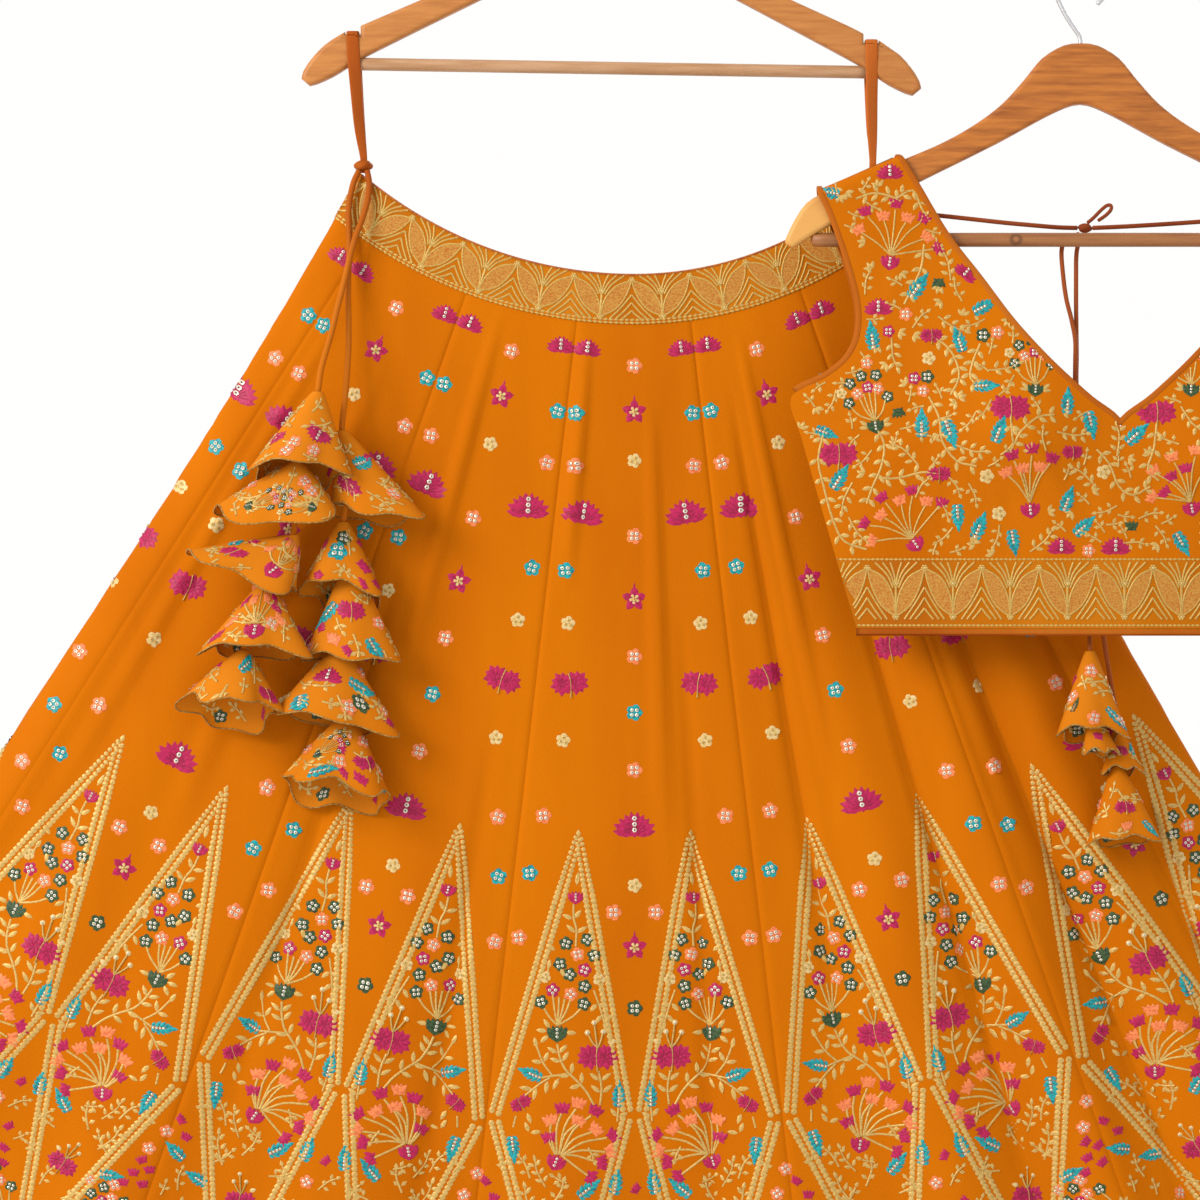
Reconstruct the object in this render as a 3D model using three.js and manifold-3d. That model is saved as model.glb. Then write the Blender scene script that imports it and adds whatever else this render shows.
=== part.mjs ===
// Lehenga choli on two wooden hangers: a flared skirt of ten gores hung by its tape loops,
// and a V-necked blouse hung in front of it. Millimetres, +Z up, front towards -Y.
// The origin is the inside of the crown of the skirt hanger's hook.

import * as THREE from 'three';
import { mergeVertices } from 'three/addons/utils/BufferGeometryUtils.js';
import Module from 'manifold-3d';

const wasm = await Module();
wasm.setup();

const SEAM_GAP = 0.3;
const CLOTH = 1.5;

// Skirt: a flat fan about a centre above the waist, in millimetres and degrees.
const FAN = { x: 13, z: -18, waist: 328, bandHeight: 36, hem: 1368 };
const GORES = { count: 10, first: -32.25, angle: 12.9, columns: 10, rows: 9 };
const TURN = GORES.count * GORES.angle;
const OUTLINE = { left: 34, right: 30.5, flare: 3.5, flareLength: 130 };
const SKIRT_DEPTH = { waist: 13, hem: 55, roundness: 3 };
const BOW = { left: 6.5, right: 17, fade: 240 };
const BAND_WALL = 2.2;
const WAISTBAND = { columns: 24, crowd: 0.06 };
const FOLD_POWER = 0.85;

// Folds of the skirt: where the crest is on the fan, its half width, its height at the hem
// and how far below the fan's centre it starts.
const SKIRT_FOLDS = [
  { at: -32.6, half: 1.9, height: 15, from: 380 },
  { at: -27.5, half: 3.0, height: 12, from: 520 },
  { at: -20.5, half: 3.6, height: 13, from: 640 },
  { at: -12.0, half: 4.2, height: 12, from: 700 },
  { at: -2.5, half: 4.4, height: 12, from: 700 },
  { at: 6.0, half: 3.8, height: 15, from: 620 },
  { at: 13.2, half: 3.0, height: 20, from: 520 },
  { at: 19.0, half: 2.5, height: 26, from: 430 },
  { at: 24.2, half: 2.4, height: 28, from: 400 },
  { at: 28.6, half: 1.8, height: 18, from: 400 },
  { at: 35.0, half: 3.0, height: 22, from: 430 },
  { at: 42.5, half: 3.4, height: 24, from: 500 },
  { at: 51.0, half: 3.6, height: 20, from: 560 },
  { at: 60.0, half: 4.0, height: 18, from: 620 },
  { at: 68.5, half: 3.6, height: 20, from: 560 },
  { at: 76.5, half: 3.4, height: 22, from: 500 },
  { at: 84.0, half: 3.2, height: 20, from: 460 },
  { at: 90.5, half: 2.6, height: 15, from: 420 },
];

// Hangers: half outlines from the middle of the hump out to the tip and back underneath.
const WOOD = { thickness: 12, bevel: 2.5 };
const SKIRT_HANGER = {
  x: 0, y: 0, tilt: 0.92, barZ: -196.7, barRadius: 4.6, barHalf: 186, hump: -72,
  outline: [
    [0, -72], [13, -74], [26, -87], [42, -104.5], [90, -128.5], [130, -146.5], [181, -169.5],
    [181, -176], [192, -176], [192, -174], [207, -184], [219, -198], [223, -208], [217, -213],
    [200, -206], [180, -193], [92, -147.6], [45, -124], [18, -110.5], [0, -107],
  ],
};
const CHOLI_HANGER = {
  x: 326.6, y: -66, tilt: 0, barZ: -326, barRadius: 5, barHalf: 188, hump: -187.9,
  outline: [
    [0, -187.9], [12, -189.5], [27, -198.5], [40, -214], [55.4, -230.8], [75, -245.5], [98.3, -258.5],
    [129.4, -271.7], [182.6, -294], [193, -300.5], [201, -312], [208, -328], [203, -332],
    [180, -318], [150, -304], [113.8, -285.7], [60, -259], [20, -237.5], [0, -230.8],
  ],
};
const HOOK = { radius: 19, wire: 3.4, stemIn: 12, start: 205, end: -50, step: 25.5, sides: 8, steps: 24 };
const HOOK_STEM_ROWS = [6, 16];
const HOOK_BENDS = [{ x: -4, rise: -31.92 }, { x: -10.5, rise: -21.85 }];
const HOLE_CLEARANCE = 0.35;
const NOTCH_FLOOR = -176;

// Tape loops that carry the skirt, and the knot tied round the left one.
const LOOP = { width: 10.5, neck: 5, tape: 1.2, backY: 1.5, clear: 0.1 };
const KNOT = { x: -181.5, y: -5, z: -267.5, ring: 4.9, tube: 1.9, height: 3.4 };
// Rows of a loop's front, from the knot up. toward is how far the tape has moved from the neck
// to the notch, up its height above the neck, down its depth below the top, narrow what the
// notch takes off its width.
const LOOP_NECK_ROWS = [{ up: 1 }, { up: 7 }];
const LOOP_MIDDLE = { toward: 0.4, up: 30, out: 1.6, width: 8 };
const LOOP_TOP_ROWS = [
  { toward: 0.8, down: 28, narrow: 1 }, { toward: 1, down: 5, narrow: 1.5 }, { toward: 1, down: 2.4, narrow: 1.5 },
];
const LOOP_CROWN = { up: 0.3, inset: 1.9, narrow: 1.5 };
const LOOP_LEFT = { hangerX: -186.5, neckX: -181.5, neckZ: -267.5, endX: -181.4, endZ: -272.6, endY: -4.3 };
const LOOP_RIGHT = { hangerX: 186.5, neckX: 184.6, neckZ: -268, endX: 185, endZ: -275.6, endY: -3 };

// Drawstrings of the skirt: the middle line of each tube, top to bottom.
const DORI = { diameter: 4.3, sides: 8 };
const DORI_A = [
  [-178.6, -8.8, -271.6], [-176.9, -12.5, -281], [-177.9, -16.4, -293.3], [-181.5, -20.2, -307],
  [-186.4, -24, -321.1], [-191, -27, -339], [-195, -31, -357.5], [-198.6, -36, -373],
  [-202.1, -42, -389.7], [-208.6, -52, -415.4], [-210.8, -58, -432.6], [-215, -61, -450],
  [-222, -62, -468], [-225.7, -62, -482.1], [-227, -62, -508], [-227.8, -62, -533.7],
  [-236, -62, -551], [-246.9, -62, -567.6], [-255, -62, -591], [-263.1, -62, -614.9],
  [-266, -62, -625],
];
const DORI_B = [
  [-184.6, -8.8, -271.6], [-188.5, -11.5, -281], [-191.4, -13.6, -296.1], [-191.4, -16, -311],
  [-190.7, -18.5, -325.4], [-191.2, -21.5, -343], [-191.4, -25, -360.4], [-190.8, -29, -382],
  [-190.7, -34, -404], [-192.4, -41, -434], [-194.6, -45, -459.6], [-191.5, -47, -478],
  [-190, -48, -497], [-191, -48, -512], [-193.1, -48, -524.5], [-192.4, -48, -537], [-188.2, -48, -552.7],
  [-191, -48, -583], [-194.6, -48, -612.8], [-192, -48, -637], [-190.3, -48, -661.6],
  [-190.3, -48, -672],
];

// Cloth tassel cones: apex, the left and right ends of the rim, the depth from back to front,
// droop of the front of the rim, and the waves along it.
const CONE = { wall: 1.2, clearance: 0.5, around: 16, down: 2 };
const SKIRT_TASSELS = [
  { name: 'latkan_a1', x: -210.8, z: -432.6, leftX: -259.6, leftZ: -486.3, rightX: -191.7, rightZ: -489.1,
    y: -58, rimY: -62, depth: 21, droop: 5, waves: 3, wave: 5, phase: 0.4 },
  { name: 'latkan_a2', x: -225.7, z: -482.1, leftX: -282.9, leftZ: -515.3, rightX: -199.5, rightZ: -512.5,
    y: -62, rimY: -62, depth: 22, droop: 14, waves: 2, wave: 3, phase: 1.2 },
  { name: 'latkan_a3', x: -227.8, z: -533.7, leftX: -301.3, leftZ: -542.8, rightX: -225, rightZ: -572.5,
    y: -62, rimY: -62, depth: 22, droop: 8, waves: 3, wave: 4, phase: 2.1 },
  { name: 'latkan_a4', x: -246.9, z: -567.6, leftX: -292.8, leftZ: -614.9, rightX: -218.6, rightZ: -618.5,
    y: -62, rimY: -62, depth: 22, droop: -3, waves: 3, wave: 5, phase: 0.9 },
  { name: 'latkan_a5', x: -263.1, z: -614.9, leftX: -304.8, leftZ: -650.3, rightX: -238.4, rightZ: -656.6,
    y: -62, rimY: -62, depth: 21, droop: 7, waves: 4, wave: 4, phase: 0.2 },
  { name: 'latkan_b1', x: -194.6, z: -459.6, leftX: -198.4, leftZ: -511.7, rightX: -140.1, rightZ: -517.4,
    y: -45, rimY: -48, depth: 17, droop: 11, waves: 2, wave: 3, phase: 0.6 },
  { name: 'latkan_b2', x: -193.1, z: -524.5, leftX: -222.8, leftZ: -570.4, rightX: -165.6, rightZ: -577.5,
    y: -48, rimY: -48, depth: 18, droop: 3, waves: 3, wave: 5, phase: 1.6 },
  { name: 'latkan_b3', x: -188.2, z: -552.7, leftX: -217.2, leftZ: -618.5, rightX: -157.8, rightZ: -619.2,
    y: -48, rimY: -50, depth: 18, droop: 4, waves: 2, wave: 5, phase: 0.1 },
  { name: 'latkan_b4', x: -194.6, z: -612.8, leftX: -240.5, leftZ: -652.4, rightX: -159.9, rightZ: -671.5,
    y: -48, rimY: -52, depth: 20, droop: 8, waves: 3, wave: 6, phase: 0.5 },
  { name: 'latkan_b5', x: -190.3, z: -661.6, leftX: -236.3, leftZ: -704, rightX: -159.9, rightZ: -718.1,
    y: -48, rimY: -54, depth: 20, droop: 8, waves: 4, wave: 5, phase: 2.6 },
];
const CHOLI_TASSELS = [
  { name: 'choli_latkan_a1', x: 334.2, z: -615.6, leftX: 311, leftZ: -673.4, rightX: 358.2, rightZ: -675.6,
    y: -60, rimY: -62, depth: 14, droop: -2, waves: 3, wave: 3, phase: 0.8 },
  { name: 'choli_latkan_a2', x: 336.5, z: -659, leftX: 328, leftZ: -685, rightX: 353, rightZ: -686,
    y: -62, rimY: -62, depth: 9, droop: 2, waves: 3, wave: 2, phase: 0.1 },
  { name: 'choli_latkan_b1', x: 355.5, z: -672, leftX: 343, leftZ: -700, rightX: 372, rightZ: -700,
    y: -44, rimY: -50, depth: 10, droop: 0, waves: 3, wave: 3, phase: 0.3 },
  { name: 'choli_latkan_b2', x: 354.7, z: -697, leftX: 333.5, leftZ: -750.4, rightX: 382.2, rightZ: -746.1,
    y: -50, rimY: -53, depth: 15, droop: 2, waves: 3, wave: 4, phase: 1.1 },
];

// Choli: rows from the shoulder to the hem, left half. Outer is the armhole and side seam, inner
// the neckline and centre front. edge and full are the depths of the front at its outer edge and
// at its middle, backFull the depth of the back, in and down how far the back's neckline lies
// inside and below the front's.
const CHOLI = { centre: 352.9, plane: -66, wall: 1.5, bandTop: -550, hem: -599.6, columns: 7 };
const SIDE_SEAM_GAP = 0.2;
const EDGE = CHOLI.wall + SIDE_SEAM_GAP;
const CHOLI_ROWS = [
  { outerX: 144.6, outerZ: -289.9, innerX: 196.8, innerZ: -267.6, edge: EDGE, full: EDGE, backFull: EDGE, in: 2, down: 0 },
  { outerX: 145.6, outerZ: -294.2, innerX: 199.2, innerZ: -271.4, edge: 8.2, full: 8.2, backFull: 8.2, in: 2.5, down: 0 },
  { outerX: 152.5, outerZ: -309, innerX: 210.7, innerZ: -290.9, edge: 8.6, full: 8.8, backFull: 8.6, in: 4, down: 1 },
  { outerX: 164.4, outerZ: -343.4, innerX: 231, innerZ: -325, edge: 8.6, full: 9.6, backFull: 8.6, in: 7, down: 5 },
  { outerX: 171.4, outerZ: -372, innerX: 254, innerZ: -355, edge: 7.4, full: 11, backFull: 8.8, in: 10, down: 8 },
  { outerX: 170.7, outerZ: -393.9, innerX: 277, innerZ: -385.5, edge: 6, full: 12.5, backFull: 9, in: 10, down: 12 },
  { outerX: 163, outerZ: -410, innerX: 302.5, innerZ: -413.4, edge: 4.6, full: 14, backFull: 9.2, in: 8, down: 16 },
  { outerX: 148, outerZ: -422.4, innerX: 329, innerZ: -438, edge: 3, full: 15, backFull: 9.4, in: 4, down: 20 },
  { outerX: 123.1, outerZ: -437.3, innerX: 352.9, innerZ: -458.4, edge: EDGE, full: 15.5, backFull: 9.6, in: 0, down: 24 },
  { outerX: 130.8, outerZ: -467.5, innerX: 352.9, innerZ: -487, edge: EDGE, full: 15.5, backFull: 9.6, in: 0, down: 18 },
  { outerX: 142.7, outerZ: -509.5, innerX: 352.9, innerZ: -517, edge: EDGE, full: 14, backFull: 9.4, in: 0, down: 8 },
  { outerX: 154.5, outerZ: CHOLI.bandTop, innerX: 352.9, innerZ: CHOLI.bandTop, edge: EDGE, full: 11.5, backFull: 9, in: 0, down: 0 },
  { outerX: 161.8, outerZ: -575, innerX: 352.9, innerZ: -575, edge: EDGE, full: 10.5, backFull: 8.6, in: 0, down: 0 },
  { outerX: 169, outerZ: CHOLI.hem, innerX: 352.9, innerZ: CHOLI.hem, edge: EDGE, full: 10, backFull: 8.4, in: 0, down: 0 },
];
const UNDERARM_ROW = 8;
const BAND_ROW = 11;
const BAND_GAP_ROWS = 0.012;
const HEM_ROW = 13;
const SWELL_POWER = 2.2;
const BUST = { x: 79, z: -462, width: 46, height: 36, rise: 13 };
const PIPING = { width: 4, thickness: 2, hemWidth: 4.4, gap: 0.45 };
const ARMHOLE_STOP = 0.2;
const NECK_STOP = 0.1;
const V_RISE = 3.6;
const SHOULDER_RISE = 1.2;

// Neck ties of the choli.
const TIE = { diameter: 3.2, sides: 8, y: -57 };
const TIE_LEFT = [
  [221.5, TIE.y, -307.4], [235, TIE.y, -308.8], [255, TIE.y, -311], [275, TIE.y, -313.2],
  [295, TIE.y, -315], [312, TIE.y, -316.4], [325.6, TIE.y, -316.8],
];
const TIE_RIGHT = [
  [336.6, TIE.y, -316.8], [355, TIE.y, -316], [380, TIE.y, -314.6], [410, TIE.y, -312.6],
  [440, TIE.y, -310.4], [465, TIE.y, -308.6], [484.3, TIE.y, -307.4],
];
const TIE_KNOT = { x: 331.1, y: TIE.y, z: -316.9, radiusX: 5, radiusY: 3, radiusZ: 3.4 };
const TIE_BOW = [
  [333.1, -55.5, -313], [337.4, -54.8, -309.4], [342.5, -54.6, -304.2], [346.8, -54.6, -300.8],
  [349.6, -55.2, -300.9], [349.4, -56, -304], [345.6, -56.4, -308], [340.4, -56.6, -311.6],
];
const TIE_BOW_DIAMETER = 2.6;
const TIE_END_A = [
  [327, -57, -321], [319, -57, -324.2], [314.6, -57, -332], [315.6, -57, -350],
  [317.9, -57, -367], [321.4, -57, -381], [324.2, -57, -396], [324.2, -57, -412],
  [324.2, -56, -430], [325.6, -54.4, -452], [327, -53.6, -475], [329.2, -53.2, -500],
  [331.3, -53, -525], [332.6, -53, -550], [333.8, -53, -580], [334.4, -54.6, -603],
  [334.2, -60, -615.6], [335, -62, -636], [336.5, -62, -659], [337.5, -62, -667],
];
const TIE_END_B = [
  [331.8, -55.2, -320.9], [329.4, -53.4, -323.2], [327, -53.2, -327], [325.4, -53.2, -336], [325.2, -53.2, -352],
  [325.2, -53.2, -370], [325.4, -53.2, -388], [325.6, -53, -407], [325.6, -52, -427],
  [327.4, -50.6, -452], [329.6, -49.8, -478], [332.4, -49.6, -505], [335.6, -49.6, -532],
  [339, -49.6, -560], [342.5, -49.4, -586], [345.8, -48, -610], [350.4, -45.6, -636],
  [354.2, -44.4, -656], [355.5, -44, -672], [355.8, -46, -685], [354.7, -50, -697],
  [355, -51.4, -706],
];

const COLOURS = {
  cloth: 0xc9730f, band: 0xd28a30, piping: 0xc2702a, tape: 0xb5642a, cord: 0xb8580f,
  woodPale: 0xd9a468, wood: 0xc07a3c, barWood: 0xdcb487, wire: 0x9a9b9c,
};

const root = new THREE.Group();

function degrees(angle) {
  return angle * Math.PI / 180;
}

function clamp(value, low, high) {
  return Math.min(Math.max(value, low), high);
}

function addMesh(name, geometry, colour, roughness = 0.85, metalness = 0) {
  const material = new THREE.MeshStandardMaterial({ color: colour, roughness, metalness });
  const mesh = new THREE.Mesh(geometry, material);
  mesh.name = name;
  root.add(mesh);
  return mesh;
}

// Skirt surface

function leftOutline(radius) {
  return OUTLINE.left + OUTLINE.flare * Math.exp(-Math.max(radius - FAN.waist, 0) / OUTLINE.flareLength);
}

function rightOutline(radius) {
  return OUTLINE.right + OUTLINE.flare * Math.exp(-Math.max(radius - FAN.waist, 0) / OUTLINE.flareLength);
}

function foldHeight(turn, radius) {
  let height = 0;
  for (const fold of SKIRT_FOLDS) {
    let away = turn - fold.at;
    away -= TURN * Math.round(away / TURN);
    if (Math.abs(away) < fold.half && radius > fold.from) {
      const grown = (radius - fold.from) / (FAN.hem - fold.from);
      height += fold.height * Math.pow(grown, FOLD_POWER) * Math.cos(Math.PI / 2 * away / fold.half) ** 2;
    }
  }
  return height;
}

// A point of the skirt: turn runs round the waist in degrees of the flat fan, front first.
function skirtPoint(turn, radius) {
  const left = leftOutline(radius);
  const right = rightOutline(radius);
  let along = turn + left;
  along -= TURN * Math.floor(along / TURN);
  const front = left + right;
  const isFront = along <= front;
  const angle = isFront ? along - left : right - (along - front) * front / (TURN - front);
  const middle = (right - left) / 2;
  const across = clamp(Math.abs(angle - middle) / (front / 2), 0, 1);
  const lens = Math.pow(1 - across ** SKIRT_DEPTH.roundness, 1 / SKIRT_DEPTH.roundness);
  const grown = (radius - FAN.waist) / (FAN.hem - FAN.waist);
  const depth = SKIRT_DEPTH.waist + (SKIRT_DEPTH.hem - SKIRT_DEPTH.waist) * grown;
  const side = isFront ? -1 : 1;
  const y = side * lens * (depth + foldHeight(along - left, radius));
  const bowed = angle < 0 ? BOW.left * (angle / left) ** 2 : BOW.right * (angle / right) ** 2;
  const bow = bowed * clamp(1 - (radius - FAN.waist) / BOW.fade, 0, 1);
  const reach = radius - bow;
  return new THREE.Vector3(
    FAN.x + reach * Math.sin(degrees(angle)), y, FAN.z - reach * Math.cos(degrees(angle)));
}

function skirtNormal(turn, radius) {
  const step = 0.5;
  const across = skirtPoint(turn + step, radius).sub(skirtPoint(turn - step, radius));
  const down = skirtPoint(turn, radius + 3).sub(skirtPoint(turn, radius - 3));
  return down.cross(across).normalize().negate();
}

// A closed wall from a grid of outer points and their outward normals.
function wallGeometry(points, normals, columns, rows, thickness, closed = false) {
  const outer = points.length;
  const perRow = closed ? columns : columns + 1;
  const positions = [];
  for (const point of points) positions.push(point.x, point.y, point.z);
  for (let i = 0; i < outer; i += 1) {
    const inner = points[i].clone().addScaledVector(normals[i], -thickness);
    positions.push(inner.x, inner.y, inner.z);
  }
  const triangles = [];
  for (let row = 0; row < rows; row += 1) {
    for (let column = 0; column < columns; column += 1) {
      const next = closed ? (column + 1) % columns : column + 1;
      const a = row * perRow + column;
      const b = row * perRow + next;
      const c = (row + 1) * perRow + next;
      const d = (row + 1) * perRow + column;
      triangles.push([a, d, c], [a, c, b]);
    }
  }
  return closeWall(positions, triangles, outer);
}

// Adds the inner side and the edges to a sheet of triangles, and turns it outward.
function closeWall(positions, triangles, outer) {
  const edges = new Set();
  for (const [a, b, c] of triangles) {
    edges.add(`${a},${b}`);
    edges.add(`${b},${c}`);
    edges.add(`${c},${a}`);
  }
  const index = [];
  for (const [a, b, c] of triangles) {
    index.push(a, b, c, a + outer, c + outer, b + outer);
  }
  for (const edge of edges) {
    const [a, b] = edge.split(',').map(Number);
    if (!edges.has(`${b},${a}`)) {
      index.push(b, a, a + outer, b, a + outer, b + outer);
    }
  }
  const geometry = new THREE.BufferGeometry();
  geometry.setAttribute('position', new THREE.Float32BufferAttribute(positions, 3));
  geometry.setIndex(index);
  return turnOutward(geometry);
}

function turnOutward(geometry) {
  const position = geometry.attributes.position;
  const index = geometry.index.array;
  const a = new THREE.Vector3();
  const b = new THREE.Vector3();
  const c = new THREE.Vector3();
  let volume = 0;
  for (let i = 0; i < index.length; i += 3) {
    a.fromBufferAttribute(position, index[i]);
    b.fromBufferAttribute(position, index[i + 1]);
    c.fromBufferAttribute(position, index[i + 2]);
    volume += a.dot(b.cross(c));
  }
  if (volume < 0) {
    for (let i = 0; i < index.length; i += 3) {
      const kept = index[i + 1];
      index[i + 1] = index[i + 2];
      index[i + 2] = kept;
    }
  }
  geometry.computeVertexNormals();
  return geometry;
}

function skirtWall(columnTurns, radii, thickness) {
  const points = [];
  const normals = [];
  for (const radius of radii) {
    for (const turn of columnTurns(radius)) {
      points.push(skirtPoint(turn, radius));
      normals.push(skirtNormal(turn, radius));
    }
  }
  const columns = columnTurns(radii[0]).length - 1;
  return wallGeometry(points, normals, columns, radii.length - 1, thickness);
}

function gapTurn(radius) {
  return SEAM_GAP / 2 / radius * 180 / Math.PI;
}

// One gore: columns are spread evenly, except that one follows the skirt's side fold.
function addGore(number) {
  const start = GORES.first + (number - 1) * GORES.angle;
  const end = start + GORES.angle;
  const columnTurns = (radius) => {
    const low = start + gapTurn(radius);
    const high = end - gapTurn(radius);
    const turns = [];
    for (let i = 0; i <= GORES.columns; i += 1) turns.push(low + (high - low) * i / GORES.columns);
    const folds = [rightOutline(radius), TURN - leftOutline(radius)];
    for (const fold of folds) {
      if (fold > start && fold < end) {
        const nearest = clamp(Math.round((fold - low) / (high - low) * GORES.columns), 1, GORES.columns - 1);
        turns[nearest] = clamp(fold, low + 0.3, high - 0.3);
      }
    }
    return turns;
  };
  const top = FAN.waist + FAN.bandHeight + SEAM_GAP;
  const radii = [];
  for (let i = 0; i <= GORES.rows; i += 1) {
    radii.push(top + (FAN.hem - top) * Math.pow(i / GORES.rows, 0.9));
  }
  const name = `skirt_kali_${String(number).padStart(2, '0')}`;
  addMesh(name, skirtWall(columnTurns, radii, CLOTH), COLOURS.cloth);
}

function addWaistband(name, from, to) {
  const columns = WAISTBAND.columns;
  const columnTurns = (radius) => {
    const low = from(radius) + gapTurn(radius);
    const high = to(radius) - gapTurn(radius);
    const turns = [];
    for (let i = 0; i <= columns; i += 1) {
      const even = i / columns;
      turns.push(low + (high - low) * (even - WAISTBAND.crowd * Math.sin(2 * Math.PI * even)));
    }
    return turns;
  };
  const radii = [FAN.waist, FAN.waist + FAN.bandHeight];
  addMesh(name, skirtWall(columnTurns, radii, BAND_WALL), COLOURS.band);
}

// Sections swept along points: a flat tape with its own width at each point.
function tapeGeometry(rows, thickness) {
  const positions = [];
  for (const row of rows) {
    const side = row.across.clone().normalize().multiplyScalar(row.width / 2);
    const lift = row.normal.clone().normalize().multiplyScalar(thickness / 2);
    const corners = [[-1, -1], [1, -1], [1, 1], [-1, 1]];
    for (const [sideways, up] of corners) {
      const corner = row.at.clone().addScaledVector(side, sideways).addScaledVector(lift, up);
      positions.push(corner.x, corner.y, corner.z);
    }
  }
  const index = [0, 1, 2, 0, 2, 3];
  for (let row = 0; row < rows.length - 1; row += 1) {
    for (let corner = 0; corner < 4; corner += 1) {
      const a = row * 4 + corner;
      const b = row * 4 + (corner + 1) % 4;
      index.push(a, a + 4, b + 4, a, b + 4, b);
    }
  }
  const last = (rows.length - 1) * 4;
  index.push(last, last + 2, last + 1, last, last + 3, last + 2);
  const geometry = new THREE.BufferGeometry();
  geometry.setAttribute('position', new THREE.Float32BufferAttribute(positions, 3));
  geometry.setIndex(index);
  return turnOutward(geometry);
}

function tiltedPlace(hanger, x, z) {
  const tilt = degrees(hanger.tilt);
  return [x * Math.cos(tilt) + z * Math.sin(tilt), z * Math.cos(tilt) - x * Math.sin(tilt)];
}

// A loop of tape over the hanger's notch, its two ends side by side in the waistband.
function addLoop(name, loop) {
  const [topX, topZ] = tiltedPlace(SKIRT_HANGER, loop.hangerX, NOTCH_FLOOR + SEAM_GAP + LOOP.tape);
  const reach = WOOD.thickness / 2 + LOOP.tape / 2 + SEAM_GAP;
  const pair = LOOP.tape / 2 + SEAM_GAP / 2;
  const across = (toward) => loop.neckX + (topX - loop.neckX) * toward;
  const end = { x: loop.endX, y: loop.endY - pair, backY: loop.endY + pair, z: loop.endZ, width: LOOP.neck };
  const neck = LOOP_NECK_ROWS.map(({ up }) => (
    { x: loop.neckX, y: KNOT.y - pair, backY: KNOT.y + pair, z: loop.neckZ + up, width: LOOP.neck }));
  const middle = {
    x: across(LOOP_MIDDLE.toward), y: KNOT.y - LOOP_MIDDLE.out, backY: LOOP.backY,
    z: loop.neckZ + LOOP_MIDDLE.up, width: LOOP_MIDDLE.width,
  };
  const top = LOOP_TOP_ROWS.map(({ toward, down, narrow }, i) => {
    const out = reach + (i < LOOP_TOP_ROWS.length - 1 ? LOOP.clear : 0);
    return { x: across(toward), y: -out, backY: out, z: topZ - down, width: LOOP.width - narrow };
  });
  const crownOut = WOOD.thickness / 2 - LOOP_CROWN.inset;
  const crown = {
    x: topX, y: -crownOut, backY: crownOut, z: topZ + LOOP_CROWN.up, width: LOOP.width - LOOP_CROWN.narrow,
  };
  const side = [end, ...neck, middle, ...top, crown];
  const back = side.map((row) => ({ ...row, y: row.backY })).reverse();
  const path = side.concat(back).map((row) => ({ at: new THREE.Vector3(row.x, row.y, row.z), width: row.width }));
  const rows = path.map((row, i) => {
    const before = path[Math.max(i - 1, 0)].at;
    const after = path[Math.min(i + 1, path.length - 1)].at;
    const along = after.clone().sub(before);
    const sideways = new THREE.Vector3(1, 0, 0);
    return { ...row, across: sideways, normal: along.clone().cross(sideways) };
  });
  addMesh(name, tapeGeometry(rows, LOOP.tape), COLOURS.tape, 0.6);
}

function addKnot() {
  const geometry = new THREE.TorusGeometry(KNOT.ring, KNOT.tube, 8, 14);
  geometry.scale(1, 1, KNOT.height / KNOT.tube);
  const mesh = addMesh('dori_knot', geometry, COLOURS.cord, 0.6);
  mesh.position.set(KNOT.x, KNOT.y, KNOT.z);
}

function addCord(name, route, diameter, steps, sides) {
  const section = new THREE.Shape();
  for (let i = 0; i < sides; i += 1) {
    const angle = 2 * Math.PI * i / sides;
    const x = diameter / 2 * Math.cos(angle);
    const y = diameter / 2 * Math.sin(angle);
    if (i === 0) section.moveTo(x, y);
    else section.lineTo(x, y);
  }
  section.closePath();
  const extrudePath = new THREE.CatmullRomCurve3(route.map((point) => new THREE.Vector3(...point)));
  const geometry = new THREE.ExtrudeGeometry(section, { steps, extrudePath, bevelEnabled: false });
  return addMesh(name, geometry, COLOURS.cord, 0.6);
}

// Tassels

// A point of a cone: round it by turn, and from the apex at 0 to the rim at 1.
function tasselPoint(tassel, cordDiameter, turn, down) {
  const neck = cordDiameter / 2 + CONE.clearance + CONE.wall;
  const halfX = (tassel.rightX - tassel.leftX) / 2;
  const halfZ = (tassel.rightZ - tassel.leftZ) / 2;
  const grown = Math.pow(down, 0.9);
  const wave = Math.cos(tassel.waves * turn + tassel.phase);
  const swell = 1 + 0.08 * grown * wave;
  const wide = neck + (halfX - neck) * grown;
  const deep = neck + (tassel.depth - neck) * grown;
  const droop = tassel.droop * Math.max(-Math.sin(turn), 0) * down;
  const ripple = tassel.wave / 2 * Math.cos(tassel.waves * turn + tassel.phase + 1) * down;
  const middleX = tassel.x + ((tassel.leftX + tassel.rightX) / 2 - tassel.x) * down;
  const middleZ = tassel.z + ((tassel.leftZ + tassel.rightZ) / 2 - tassel.z) * down;
  return new THREE.Vector3(
    middleX + wide * swell * Math.cos(turn),
    tassel.y + (tassel.rimY - tassel.y) * down + deep * swell * Math.sin(turn),
    middleZ + halfZ * grown * Math.cos(turn) - droop - ripple);
}

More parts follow.
